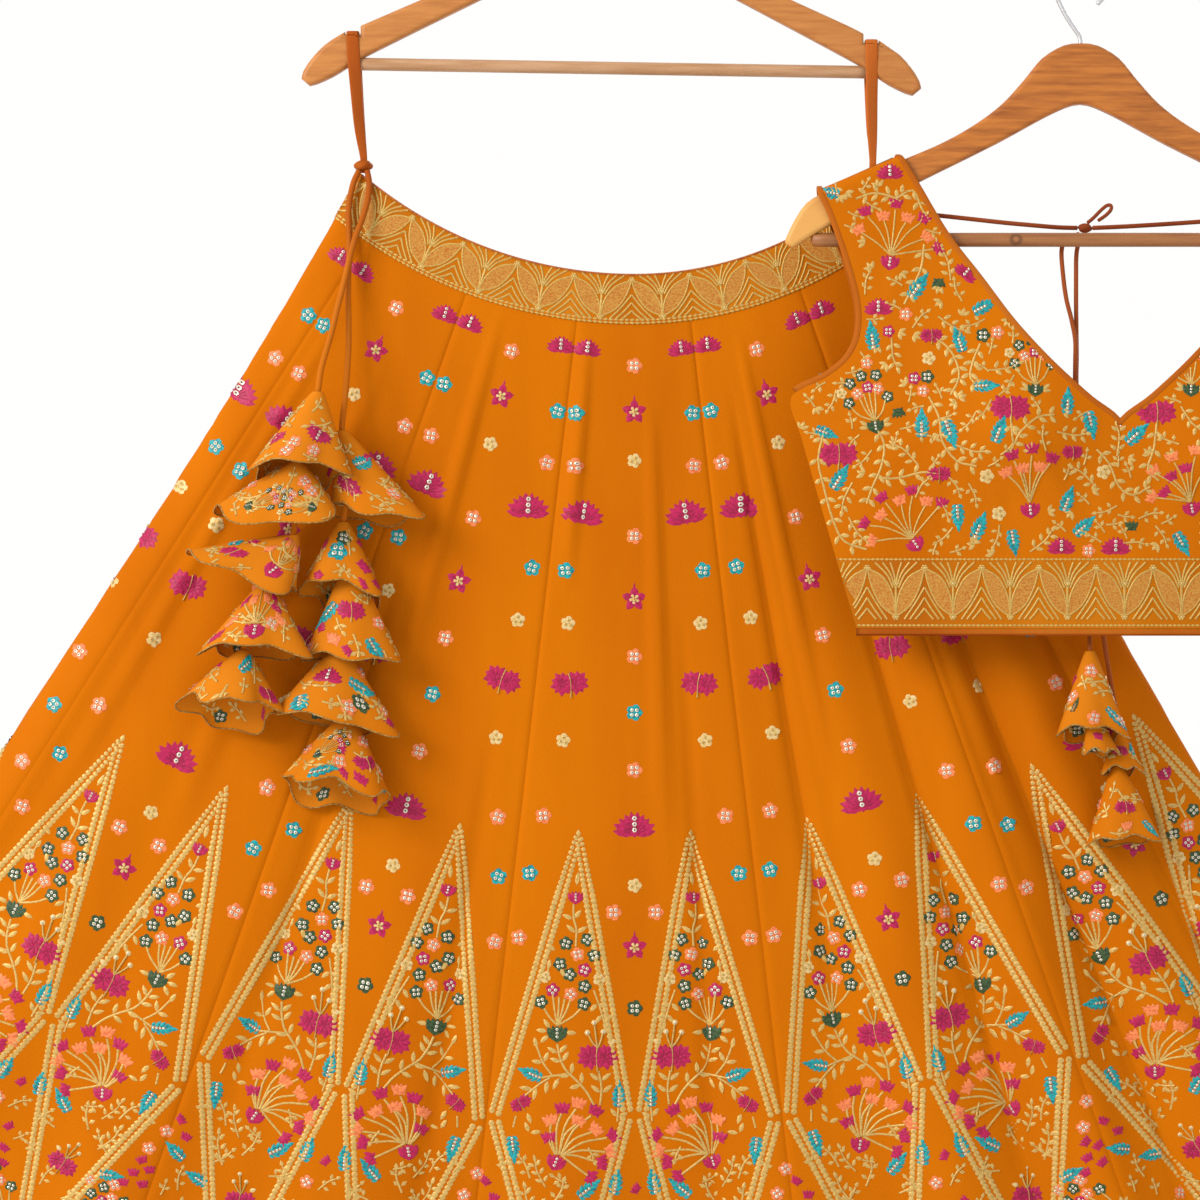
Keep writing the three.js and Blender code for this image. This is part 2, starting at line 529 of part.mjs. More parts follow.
function addTassel(tassel, cordDiameter) {
  const at = (turn, down) => tasselPoint(tassel, cordDiameter, turn, down);
  const points = [];
  const normals = [];
  for (let row = 0; row <= CONE.down; row += 1) {
    const down = row / CONE.down;
    for (let column = 0; column < CONE.around; column += 1) {
      const turn = 2 * Math.PI * column / CONE.around;
      const here = at(turn, down);
      const across = at(turn + 0.1, down).sub(at(turn - 0.1, down));
      const along = at(turn, Math.min(down + 0.05, 1)).sub(at(turn, Math.max(down - 0.05, 0)));
      points.push(here);
      normals.push(along.cross(across).normalize());
    }
  }
  const geometry = wallGeometry(points, normals, CONE.around, CONE.down, CONE.wall, true);
  addMesh(tassel.name, geometry, COLOURS.cloth);
}

// Choli surface

function smoothValue(table, key, place) {
  const low = clamp(Math.floor(place), 0, table.length - 2);
  const part = place - low;
  const before = table[Math.max(low - 1, 0)][key];
  const first = table[low][key];
  const second = table[low + 1][key];
  const after = table[Math.min(low + 2, table.length - 1)][key];
  const firstSlope = (second - before) / 2;
  const secondSlope = (after - first) / 2;
  const square = part * part;
  const cube = square * part;
  return first * (2 * cube - 3 * square + 1) + firstSlope * (cube - 2 * square + part)
    + second * (3 * square - 2 * cube) + secondSlope * (cube - square);
}

// A point of the left half: across from the outer edge to the inner one, row down the table.
function choliPoint(side, across, row) {
  const value = (key) => smoothValue(CHOLI_ROWS, key, row);
  const isBack = side > 0;
  const innerX = Math.min(value('innerX'), CHOLI.centre) - (isBack ? value('in') : 0);
  const innerZ = value('innerZ') - (isBack ? value('down') : 0);
  const x = value('outerX') + (innerX - value('outerX')) * across;
  const z = value('outerZ') + (innerZ - value('outerZ')) * across;
  const full = isBack ? value('backFull') : value('full');
  const swell = 1 - Math.pow(1 - clamp(across, 0, 1), SWELL_POWER);
  let out = value('edge') + (full - value('edge')) * swell;
  if (!isBack) {
    const away = ((x - CHOLI.centre + BUST.x) / BUST.width) ** 2 + ((z - BUST.z) / BUST.height) ** 2;
    out += BUST.rise * Math.exp(-away) * clamp(across * 3, 0, 1);
  }
  return new THREE.Vector3(x, CHOLI.plane + side * out, z);
}

function mirrored(point) {
  return new THREE.Vector3(2 * CHOLI.centre - point.x, point.y, point.z);
}

// Grids of outer points are welded by place, given mean normals and closed into one wall.
function weldedWall(grids, thickness, side) {
  const places = new Map();
  const points = [];
  const triangles = [];
  const number = (point) => {
    const key = [point.x, point.y, point.z].map((value) => value.toFixed(3)).join(' ');
    if (!places.has(key)) {
      places.set(key, points.length);
      points.push(point);
    }
    return places.get(key);
  };
  for (const { grid, flip } of grids) {
    for (let row = 0; row < grid.length - 1; row += 1) {
      for (let column = 0; column < grid[row].length - 1; column += 1) {
        const a = number(grid[row][column]);
        const b = number(grid[row][column + 1]);
        const c = number(grid[row + 1][column + 1]);
        const d = number(grid[row + 1][column]);
        if (flip) triangles.push([a, b, c], [a, c, d]);
        else triangles.push([a, c, b], [a, d, c]);
      }
    }
  }
  const normals = points.map(() => new THREE.Vector3());
  for (const [a, b, c] of triangles) {
    const face = points[b].clone().sub(points[a]).cross(points[c].clone().sub(points[a]));
    normals[a].add(face);
    normals[b].add(face);
    normals[c].add(face);
  }
  const positions = [];
  for (const point of points) positions.push(point.x, point.y, point.z);
  points.forEach((point, i) => {
    const normal = normals[i].normalize();
    if (normal.y * side < 0) normal.negate();
    const inner = point.clone().addScaledVector(normal, -thickness);
    positions.push(inner.x, inner.y, inner.z);
  });
  return closeWall(positions, triangles, points.length);
}

function choliGrid(side, rows, isMirrored, centreGap = 0) {
  return rows.map((row) => {
    const line = [];
    for (let column = 0; column <= CHOLI.columns; column += 1) {
      const point = choliPoint(side, column / CHOLI.columns, row);
      if (centreGap) point.x = Math.min(point.x, CHOLI.centre - centreGap / 2);
      line.push(isMirrored ? mirrored(point) : point);
    }
    return line;
  });
}

function wholeRows(first, last) {
  const rows = [];
  for (let row = first; row <= last; row += 1) rows.push(row);
  return rows;
}

function addCholiPanels() {
  const bodyRows = wholeRows(0, BAND_ROW);
  const bandRows = [BAND_ROW + BAND_GAP_ROWS, BAND_ROW + 1, HEM_ROW];
  const front = (rows) => [
    { grid: choliGrid(-1, rows, false), flip: false },
    { grid: choliGrid(-1, rows, true), flip: true },
  ];
  addMesh('choli_front', weldedWall(front(bodyRows), CHOLI.wall, -1), COLOURS.cloth);
  addMesh('choli_band_front', weldedWall(front(bandRows), CHOLI.wall, -1), COLOURS.band);
  for (const half of ['left', 'right']) {
    const isMirrored = half === 'right';
    const back = (rows) => [{ grid: choliGrid(1, rows, isMirrored, SEAM_GAP), flip: isMirrored }];
    addMesh(`choli_back_${half}`, weldedWall(back(bodyRows), CHOLI.wall, 1), COLOURS.cloth);
    addMesh(`choli_band_back_${half}`, weldedWall(back(bandRows), CHOLI.wall, 1), COLOURS.band);
  }
}

// Points of a panel's edge with the panel's outward normal, row by row.
function edgePoints(side, across, rows) {
  return rows.map((row) => {
    const whole = Math.floor(row);
    const here = choliPoint(side, across, whole).lerp(choliPoint(side, across, whole + 1), row - whole);
    const inside = choliPoint(side, across < 0.5 ? 0.04 : 0.96, row);
    const along = choliPoint(side, across, row + 0.05).sub(choliPoint(side, across, Math.max(row - 0.05, 0)));
    const normal = inside.clone().sub(here).cross(along).normalize();
    if (normal.y * side < 0) normal.negate();
    return { here, inside, normal };
  });
}

// The binding of an edge: a tape beside the edge points, moved out of the panel.
function bindingRows(points) {
  const aways = [];
  for (let i = 0; i < points.length - 1; i += 1) {
    const along = points[i + 1].here.clone().sub(points[i].here);
    const normal = points[i].normal.clone().add(points[i + 1].normal).normalize();
    const away = along.cross(normal).normalize();
    if (away.dot(points[i].inside.clone().sub(points[i].here)) > 0) away.negate();
    aways.push(away);
  }
  return points.map((point, i) => {
    const before = aways[Math.max(i - 1, 0)];
    const after = aways[Math.min(i, aways.length - 1)];
    const away = before.clone().add(after).normalize();
    const reach = (PIPING.gap + PIPING.width / 2) / Math.max(away.dot(after), 0.6);
    const at = point.here.clone().addScaledVector(away, reach).addScaledVector(point.normal, -CHOLI.wall / 2);
    return { at, across: away, normal: point.normal.clone(), width: PIPING.width };
  });
}

// Both sides of the shoulder are one binding: front rows upward, the shoulder, back rows down.
function overShoulder(across, frontRows, backRows) {
  const front = edgePoints(-1, across, frontRows).reverse();
  const back = edgePoints(1, across, backRows);
  const top = edgePoints(-1, across, [0])[0];
  top.here.y = CHOLI.plane;
  top.here.z += SHOULDER_RISE;
  top.inside.y = CHOLI.plane;
  top.normal.set(0, 0, 1);
  return bindingRows(front.concat([top], back));
}

function mirroredRow(row) {
  return {
    at: mirrored(row.at),
    across: new THREE.Vector3(-row.across.x, row.across.y, row.across.z),
    normal: new THREE.Vector3(-row.normal.x, row.normal.y, row.normal.z),
    width: row.width,
  };
}

function addPipings() {
  const stripRows = wholeRows(1, UNDERARM_ROW - 1);
  const armholeRows = [...stripRows, UNDERARM_ROW - ARMHOLE_STOP];
  const armhole = overShoulder(0, armholeRows, armholeRows);
  addMesh('choli_piping_armhole_left', tapeGeometry(armhole, PIPING.thickness), COLOURS.piping, 0.7);
  const mirroredArmhole = armhole.map(mirroredRow);
  addMesh('choli_piping_armhole_right', tapeGeometry(mirroredArmhole, PIPING.thickness), COLOURS.piping, 0.7);
  const neckLeft = overShoulder(1, stripRows, [...stripRows, UNDERARM_ROW - NECK_STOP]).reverse();
  const lowest = edgePoints(-1, 1, [UNDERARM_ROW])[0];
  const point = {
    at: lowest.here.clone().add(new THREE.Vector3(0, CHOLI.wall / 2, V_RISE)),
    across: new THREE.Vector3(0, 0, 1), normal: lowest.normal, width: PIPING.width,
  };
  const neckRight = neckLeft.map(mirroredRow).reverse();
  for (const row of neckRight) row.across.negate();
  const neck = neckLeft.concat([point], neckRight);
  for (const row of neck) {
    if (row.across.z < -0.2) row.across.negate();
  }
  addMesh('choli_piping_neck', tapeGeometry(neck, PIPING.thickness), COLOURS.piping, 0.7);
  addHemPiping('choli_piping_hem_front', -1, 0, 1);
  addHemPiping('choli_piping_hem_back_left', 1, 0, 0.5);
  addHemPiping('choli_piping_hem_back_right', 1, 0.5, 1);
}

function addHemPiping(name, side, from, to) {
  const rows = [];
  const steps = Math.round(14 * (to - from));
  for (let i = 0; i <= steps; i += 1) {
    const whole = from + (to - from) * i / steps;
    const isMirrored = whole > 0.5;
    const across = isMirrored ? 2 - 2 * whole : 2 * whole;
    const here = choliPoint(side, across, HEM_ROW);
    const at = isMirrored ? mirrored(here) : here;
    if (side > 0 && Math.abs(at.x - CHOLI.centre) < SEAM_GAP) {
      at.x = CHOLI.centre + (from < 0.5 ? -1 : 1) * SEAM_GAP / 2;
    }
    at.z -= SEAM_GAP + PIPING.hemWidth / 2;
    at.y -= side * CHOLI.wall / 2;
    rows.push({
      at, across: new THREE.Vector3(0, 0, 1), normal: new THREE.Vector3(0, side, 0), width: PIPING.hemWidth,
    });
  }
  addMesh(name, tapeGeometry(rows, CHOLI.wall - 0.2), COLOURS.piping, 0.7);
}

// Hangers

function solidOf(geometry) {
  const plain = geometry.clone();
  plain.deleteAttribute('normal');
  plain.deleteAttribute('uv');
  const merged = mergeVertices(plain, 1e-4);
  return new wasm.Manifold(new wasm.Mesh({
    numProp: 3,
    vertProperties: new Float32Array(merged.attributes.position.array),
    triVerts: new Uint32Array(merged.index.array),
  }));
}

function geometryOf(solid) {
  const mesh = solid.getMesh();
  const geometry = new THREE.BufferGeometry();
  geometry.setAttribute('position', new THREE.BufferAttribute(new Float32Array(mesh.vertProperties), 3));
  geometry.setIndex(Array.from(mesh.triVerts));
  geometry.computeVertexNormals();
  return geometry;
}

function hangerCylinder(radius, length) {
  return new THREE.CylinderGeometry(radius, radius, length, 16);
}

function addHanger(prefix, hanger, hookTop, woodColour) {
  const right = hanger.outline.map(([x, z]) => new THREE.Vector2(x, z));
  const left = hanger.outline.slice(1, -1).map(([x, z]) => new THREE.Vector2(-x, z)).reverse();
  const shape = new THREE.Shape(right.concat(left).reverse());
  const flat = WOOD.thickness - 2 * WOOD.bevel;
  const arms = new THREE.ExtrudeGeometry(shape, {
    depth: flat, bevelEnabled: true, bevelThickness: WOOD.bevel, bevelSize: WOOD.bevel,
    bevelOffset: -WOOD.bevel, bevelSegments: 1, steps: 1,
  });
  arms.translate(0, 0, -flat / 2);
  arms.rotateX(Math.PI / 2);
  const barHole = hangerCylinder(hanger.barRadius + HOLE_CLEARANCE, 2 * hanger.barHalf + 2 * HOLE_CLEARANCE);
  barHole.rotateZ(Math.PI / 2);
  barHole.translate(0, 0, hanger.barZ);
  const stemHole = hangerCylinder(HOOK.wire / 2 + HOLE_CLEARANCE, 2 * HOOK.stemIn + 2 * HOLE_CLEARANCE);
  stemHole.rotateX(Math.PI / 2);
  stemHole.translate(0, 0, hanger.hump);
  const cut = solidOf(arms).subtract(solidOf(barHole)).subtract(solidOf(stemHole));
  const tilted = new THREE.Group();
  tilted.position.set(hanger.x, hanger.y, 0);
  tilted.rotation.y = degrees(hanger.tilt);
  const armMesh = addMesh(`${prefix}_arms`, geometryOf(cut), woodColour, 0.5);
  const bar = hangerCylinder(hanger.barRadius, 2 * hanger.barHalf);
  bar.rotateZ(Math.PI / 2);
  bar.translate(0, 0, hanger.barZ);
  const barMesh = addMesh(`${prefix}_bar`, bar, COLOURS.barWood, 0.55);
  const stemBottom = hanger.hump - HOOK.stemIn;
  const middle = hookTop + HOOK.wire / 2 - HOOK.radius;
  const route = [[0, 0, stemBottom]];
  for (const up of HOOK_STEM_ROWS) route.push([0, 0, stemBottom + up]);
  for (const bend of HOOK_BENDS) route.push([bend.x, 0, middle + bend.rise]);
  for (let turn = HOOK.start; turn >= HOOK.end; turn -= HOOK.step) {
    route.push([HOOK.radius * Math.cos(degrees(turn)), 0, middle + HOOK.radius * Math.sin(degrees(turn))]);
  }
  const hookMesh = addCord(`${prefix}_hook`, route, HOOK.wire, HOOK.steps, HOOK.sides);
  hookMesh.material = new THREE.MeshStandardMaterial({ color: COLOURS.wire, roughness: 0.3, metalness: 0.9 });
  for (const mesh of [armMesh, barMesh, hookMesh]) tilted.add(mesh);
  root.add(tilted);
}

function build() {
  for (let number = 1; number <= GORES.count; number += 1) addGore(number);
  addWaistband('waistband_front', (radius) => -leftOutline(radius), rightOutline);
  addWaistband('waistband_back', rightOutline, (radius) => TURN - leftOutline(radius));
  addLoop('loop_left', LOOP_LEFT);
  addLoop('loop_right', LOOP_RIGHT);
  addKnot();
  addCord('dori_a', DORI_A, DORI.diameter, 26, DORI.sides);
  addCord('dori_b', DORI_B, DORI.diameter, 26, DORI.sides);
  for (const tassel of SKIRT_TASSELS) addTassel(tassel, DORI.diameter);
  for (const tassel of CHOLI_TASSELS) addTassel(tassel, TIE.diameter);
  addCholiPanels();
  addPipings();
  addCord('choli_tie_left', TIE_LEFT, TIE.diameter, 12, TIE.sides);
  addCord('choli_tie_right', TIE_RIGHT, TIE.diameter, 12, TIE.sides);
  const knot = new THREE.SphereGeometry(1, 10, 6);
  knot.scale(TIE_KNOT.radiusX, TIE_KNOT.radiusY, TIE_KNOT.radiusZ);
  addMesh('choli_tie_knot', knot, COLOURS.cord, 0.6).position.set(TIE_KNOT.x, TIE_KNOT.y, TIE_KNOT.z);
  addCord('choli_tie_bow', TIE_BOW, TIE_BOW_DIAMETER, 14, TIE.sides);
  addCord('choli_tie_end_a', TIE_END_A, TIE.diameter, 28, TIE.sides);
  addCord('choli_tie_end_b', TIE_END_B, TIE.diameter, 32, TIE.sides);
  addHanger('hanger_skirt', SKIRT_HANGER, 0, COLOURS.woodPale);
  addHanger('hanger_choli', CHOLI_HANGER, -128, COLOURS.wood);
}

build();

export default root;
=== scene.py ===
# Lehenga choli on two wooden hangers: an embroidered skirt hung by its tape loops and a V-necked
# blouse hung in front of it. Places are in millimetres, +Z up, front towards -Y, until make_mesh
# turns them into metres. The origin is the inside of the crown of the skirt hanger's hook. The
# lights and the floor are placed in metres.

import math
import random

import bpy
import numpy as np
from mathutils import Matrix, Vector
from mathutils.bvhtree import BVHTree


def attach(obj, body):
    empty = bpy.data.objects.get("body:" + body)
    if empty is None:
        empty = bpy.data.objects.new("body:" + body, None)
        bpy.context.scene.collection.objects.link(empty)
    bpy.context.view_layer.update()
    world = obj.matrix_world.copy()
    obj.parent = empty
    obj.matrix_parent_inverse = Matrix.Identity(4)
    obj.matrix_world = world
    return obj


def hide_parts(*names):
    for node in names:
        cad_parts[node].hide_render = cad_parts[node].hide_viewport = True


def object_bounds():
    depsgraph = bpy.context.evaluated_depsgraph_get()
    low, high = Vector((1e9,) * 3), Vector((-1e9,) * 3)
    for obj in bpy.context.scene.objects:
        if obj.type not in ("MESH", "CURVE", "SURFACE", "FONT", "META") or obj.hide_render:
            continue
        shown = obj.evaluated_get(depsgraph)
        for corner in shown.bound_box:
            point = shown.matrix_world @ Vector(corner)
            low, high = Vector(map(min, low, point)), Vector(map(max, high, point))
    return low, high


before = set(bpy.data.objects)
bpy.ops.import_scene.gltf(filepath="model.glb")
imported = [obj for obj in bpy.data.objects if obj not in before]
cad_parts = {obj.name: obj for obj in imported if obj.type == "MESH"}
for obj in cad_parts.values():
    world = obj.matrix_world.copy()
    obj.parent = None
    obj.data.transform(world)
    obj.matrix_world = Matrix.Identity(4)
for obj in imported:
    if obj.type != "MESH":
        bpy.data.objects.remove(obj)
cad_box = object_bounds()

MM = 0.001

# Camera: straight in front, far enough for little perspective
CAMERA_PLACE = (-11.5, -3000.0, -579.6)
CAMERA_LENS = 125.0
CAMERA_SENSOR = 36.0

# Skirt: a flat fan about a centre above the waist, with angles in degrees
FAN = {"x": 13.0, "z": -18.0, "waist": 328.0, "band": 36.0, "hem": 1368.0}
GORES = {"count": 10, "first": -32.25, "angle": 12.9}
TURN = GORES["count"] * GORES["angle"]
OUTLINE = {"left": 34.0, "right": 30.5, "flare": 3.5, "flare_length": 130.0}
SKIRT_DEPTH = {"waist": 13.0, "hem": 55.0, "roundness": 3.0}
BOW = {"left": 6.5, "right": 17.0, "fade": 240.0}
FOLD_POWER = 0.85
SEAM_PINCH = {"depth": 1.1, "width": 1.5}
CLOTH_OUT = 1.7

# Large folds, as the solids have them, and soft creases. Their places and half widths are in
# degrees; start and end are distances from the fan's centre. A large fold runs on to the hem.
FOLD_COLUMNS = ("at", "half", "height", "start", "end")
SKIRT_FOLDS = [dict(zip(FOLD_COLUMNS, row)) for row in (
    (-32.6, 1.9, 15, 380), (-27.5, 3.0, 12, 520), (-20.5, 3.6, 13, 640), (-12.0, 4.2, 12, 700),
    (-2.5, 4.4, 12, 700), (6.0, 3.8, 15, 620), (13.2, 3.0, 20, 520), (19.0, 2.5, 26, 430),
    (24.2, 2.4, 28, 400), (28.6, 1.8, 18, 400), (35.0, 3.0, 22, 430), (42.5, 3.4, 24, 500),
    (51.0, 3.6, 20, 560), (60.0, 4.0, 18, 620), (68.5, 3.6, 20, 560), (76.5, 3.4, 22, 500),
    (84.0, 3.2, 20, 460), (90.5, 2.6, 15, 420),
)]

# How many times its listed height each soft crease stands out or sinks in
CREASE_DEPTH = 3.1
SOFT_CREASES = [dict(zip(FOLD_COLUMNS, row)) for row in (
    (-30.6, 0.9, 1.6, 400, 900), (-24.6, 1.1, 1.3, 430, 820), (-17.3, 0.8, -1.2, 520, 1000),
    (-15.1, 1.0, 1.4, 370, 640), (-8.7, 0.7, -1.0, 640, 1150), (-5.1, 0.9, 1.2, 372, 560),
    (1.6, 0.8, 1.3, 420, 760), (3.4, 0.6, -1.1, 560, 1100), (9.6, 0.7, -1.8, 420, 900),
    (11.4, 0.6, 1.4, 380, 700), (16.1, 0.6, -2.0, 480, 1080), (20.6, 0.5, 1.6, 480, 860),
    (21.7, 0.5, -2.2, 470, 1200), (26.6, 0.5, -2.4, 430, 1250), (27.6, 0.5, 1.5, 560, 980),
    (38.8, 0.8, -1.8, 460, 1050), (46.8, 0.9, 1.7, 400, 760), (55.6, 0.8, -1.5, 560, 1180),
    (64.2, 1.0, 1.5, 380, 690), (72.4, 0.7, -1.9, 520, 1100), (80.2, 0.8, 1.4, 420, 880),
    (87.6, 0.7, -1.6, 480, 1020),
)]

# Cords: the middle line of each, top to bottom
DORI_DIAMETER = 4.3
DORI_A = [
    (-178.6, -8.8, -271.6), (-176.9, -12.5, -281), (-177.9, -16.4, -293.3), (-181.5, -20.2, -307),
    (-186.4, -24, -321.1), (-191, -27, -339), (-195, -31, -357.5), (-198.6, -36, -373),
    (-202.1, -42, -389.7), (-208.6, -52, -415.4), (-210.8, -58, -432.6), (-215, -61, -450),
    (-222, -62, -468), (-225.7, -62, -482.1), (-227, -62, -508), (-227.8, -62, -533.7),
    (-236, -62, -551), (-246.9, -62, -567.6), (-255, -62, -591), (-263.1, -62, -614.9),
    (-266, -62, -625),
]
DORI_B = [
    (-184.6, -8.8, -271.6), (-188.5, -11.5, -281), (-191.4, -13.6, -296.1), (-191.4, -16, -311),
    (-190.7, -18.5, -325.4), (-191.2, -21.5, -343), (-191.4, -25, -360.4), (-190.8, -29, -382),
    (-190.7, -34, -404), (-192.4, -41, -434), (-194.6, -45, -459.6), (-191.5, -47, -478),
    (-190, -48, -497), (-191, -48, -512), (-193.1, -48, -524.5), (-192.4, -48, -537),
    (-188.2, -48, -552.7), (-191, -48, -583), (-194.6, -48, -612.8), (-192, -48, -637),
    (-190.3, -48, -661.6), (-190.3, -48, -672),
]
TIE_DIAMETER = 3.2
TIE_Y = -57
TIE_LEFT = [
    (221.5, TIE_Y, -307.4), (235, TIE_Y, -308.8), (255, TIE_Y, -311), (275, TIE_Y, -313.2),
    (295, TIE_Y, -315), (312, TIE_Y, -316.4), (325.6, TIE_Y, -316.8),
]
TIE_RIGHT = [
    (336.6, TIE_Y, -316.8), (355, TIE_Y, -316), (380, TIE_Y, -314.6), (410, TIE_Y, -312.6),
    (440, TIE_Y, -310.4), (465, TIE_Y, -308.6), (484.3, TIE_Y, -307.4),
]
TIE_KNOT = {"x": 331.1, "y": TIE_Y, "z": -316.9, "radii": (5.0, 3.0, 3.4)}
TIE_BOW_DIAMETER = 2.6
TIE_BOW = [
    (333.1, -55.5, -313), (337.4, -54.8, -309.4), (342.5, -54.6, -304.2), (346.8, -54.6, -300.8),
    (349.6, -55.2, -300.9), (349.4, -56, -304), (345.6, -56.4, -308), (340.4, -56.6, -311.6),
]
TIE_END_A = [
    (327, -57, -321), (319, -57, -324.2), (314.6, -57, -332), (315.6, -57, -350), (317.9, -57, -367),
    (321.4, -57, -381), (324.2, -57, -396), (324.2, -57, -412), (324.2, -56, -430),
    (325.6, -54.4, -452), (327, -53.6, -475), (329.2, -53.2, -500), (331.3, -53, -525),
    (332.6, -53, -550), (333.8, -53, -580), (334.4, -54.6, -603), (334.2, -60, -615.6),
    (335, -62, -636), (336.5, -62, -659), (337.5, -62, -667),
]
TIE_END_B = [
    (331.8, -55.2, -320.9), (329.4, -53.4, -323.2), (327, -53.2, -327), (325.4, -53.2, -336),
    (325.2, -53.2, -352), (325.2, -53.2, -370), (325.4, -53.2, -388), (325.6, -53, -407),
    (325.6, -52, -427), (327.4, -50.6, -452), (329.6, -49.8, -478), (332.4, -49.6, -505),
    (335.6, -49.6, -532), (339, -49.6, -560), (342.5, -49.4, -586), (345.8, -48, -610),
    (350.4, -45.6, -636), (354.2, -44.4, -656), (355.5, -44, -672), (355.8, -46, -685),
    (354.7, -50, -697), (355, -51.4, -706),
]

# Cloth tassel cones: apex, the left and right ends of the rim, how far forward both are, depth,
# droop of the rim's front, the waves along it, and how far the mouth turns to the front
CONE = {"wall": 1.2, "clearance": 0.5}
TASSEL_COLUMNS = ("name", "x", "z", "left_x", "left_z", "right_x", "right_z", "y", "rim_y", "depth",
                  "droop", "waves", "wave", "phase", "mouth")
SKIRT_TASSELS = [dict(zip(TASSEL_COLUMNS, row)) for row in (
    ("latkan_a1", -210.8, -432.6, -259.6, -486.3, -191.7, -489.1, -58, -62, 21, 5, 3, 5, 0.4, 16),
    ("latkan_a2", -225.7, -482.1, -282.9, -515.3, -199.5, -512.5, -62, -62, 22, 14, 2, 3, 1.2, 3),
    ("latkan_a3", -227.8, -533.7, -301.3, -542.8, -225, -572.5, -62, -62, 22, 8, 3, 4, 2.1, 3),
    ("latkan_a4", -246.9, -567.6, -292.8, -614.9, -218.6, -618.5, -62, -62, 22, -3, 3, 5, 0.9, 3),
    ("latkan_a5", -263.1, -614.9, -304.8, -650.3, -238.4, -656.6, -62, -62, 21, 7, 4, 4, 0.2, 19),
    ("latkan_b1", -194.6, -459.6, -198.4, -511.7, -140.1, -517.4, -45, -48, 17, 11, 2, 3, 0.6, 11),
    ("latkan_b2", -193.1, -524.5, -222.8, -570.4, -165.6, -577.5, -48, -48, 18, 3, 3, 5, 1.6, 16),
    ("latkan_b3", -188.2, -552.7, -217.2, -618.5, -157.8, -619.2, -48, -50, 18, 4, 2, 5, 0.1, 3),
    ("latkan_b4", -194.6, -612.8, -240.5, -652.4, -159.9, -671.5, -48, -52, 20, 8, 3, 6, 0.5, 8),
    ("latkan_b5", -190.3, -661.6, -236.3, -704, -159.9, -718.1, -48, -54, 20, 8, 4, 5, 2.6, 18),
)]
CHOLI_TASSELS = [dict(zip(TASSEL_COLUMNS, row)) for row in (
    ("choli_latkan_a1", 334.2, -615.6, 311, -673.4, 358.2, -675.6, -60, -62, 14, -2, 3, 3, 0.8, 6),
    ("choli_latkan_a2", 336.5, -659, 328, -685, 353, -686, -62, -62, 9, 2, 3, 2, 0.1, 3),
    ("choli_latkan_b1", 355.5, -672, 343, -700, 372, -700, -44, -50, 10, 0, 3, 3, 0.3, 3),
    ("choli_latkan_b2", 354.7, -697, 333.5, -750.4, 382.2, -746.1, -50, -53, 15, 2, 3, 4, 1.1, 5),
)]

# Choli: rows from the shoulder to the hem, left half, as the solids have them
CHOLI = {"centre": 352.9, "plane": -66.0, "band_top": -550.0, "hem": -599.6}
EDGE = 1.7
CHOLI_ROWS = {
    "outer_x": [144.6, 145.6, 152.5, 164.4, 171.4, 170.7, 163, 148, 123.1, 130.8, 142.7, 154.5, 161.8,
                169],
    "outer_z": [-289.9, -294.2, -309, -343.4, -372, -393.9, -410, -422.4, -437.3, -467.5, -509.5,
                -550, -575, -599.6],
    "inner_x": [196.8, 199.2, 210.7, 231, 254, 277, 302.5, 329, 352.9, 352.9, 352.9, 352.9, 352.9,
                352.9],
    "inner_z": [-267.6, -271.4, -290.9, -325, -355, -385.5, -413.4, -438, -458.4, -487, -517,
                -550, -575, -599.6],
    "edge": [EDGE, 8.2, 8.6, 8.6, 7.4, 6, 4.6, 3, EDGE, EDGE, EDGE, EDGE, EDGE, EDGE],
    "full": [EDGE, 8.2, 8.8, 9.6, 11, 12.5, 14, 15, 15.5, 15.5, 14, 11.5, 10.5, 10],
    "back_full": [EDGE, 8.2, 8.6, 8.6, 8.8, 9, 9.2, 9.4, 9.6, 9.6, 9.4, 9, 8.6, 8.4],
    "inward": [2, 2.5, 4, 7, 10, 10, 8, 4, 0, 0, 0, 0, 0, 0],
    "down": [0, 0, 1, 5, 8, 12, 16, 20, 24, 18, 8, 0, 0, 0],
}
BAND_ROW = 11
HEM_ROW = 13
BUST = {"x": 79.0, "z": -462.0, "width": 46.0, "height": 36.0, "rise": 13.0}
SWELL_POWER = 2.2
CHOLI_OUT = 0.4
V_RISE = 3.6
V_ROW = 8

# Soft creases of the blouse, with the turn of each in degrees, and the dart under the bust
CREASE_COLUMNS = ("x", "z", "angle", "length", "width", "height")
CHOLI_CREASES = [dict(zip(CREASE_COLUMNS, row)) for row in (
    (176, -452, 62, 34, 5, 1.6), (205, -470, 48, 42, 6, 1.2), (232, -512, 12, 30, 6, -1.0),
    (300, -486, -28, 38, 6, 1.3), (330, -512, -8, 28, 5, -0.9), (196, -350, 15, 40, 6, 0.9),
)]
DART = {"x": 275.0, "top": -468.0, "bottom": -549.0, "width": 1.3, "depth": 1.0}

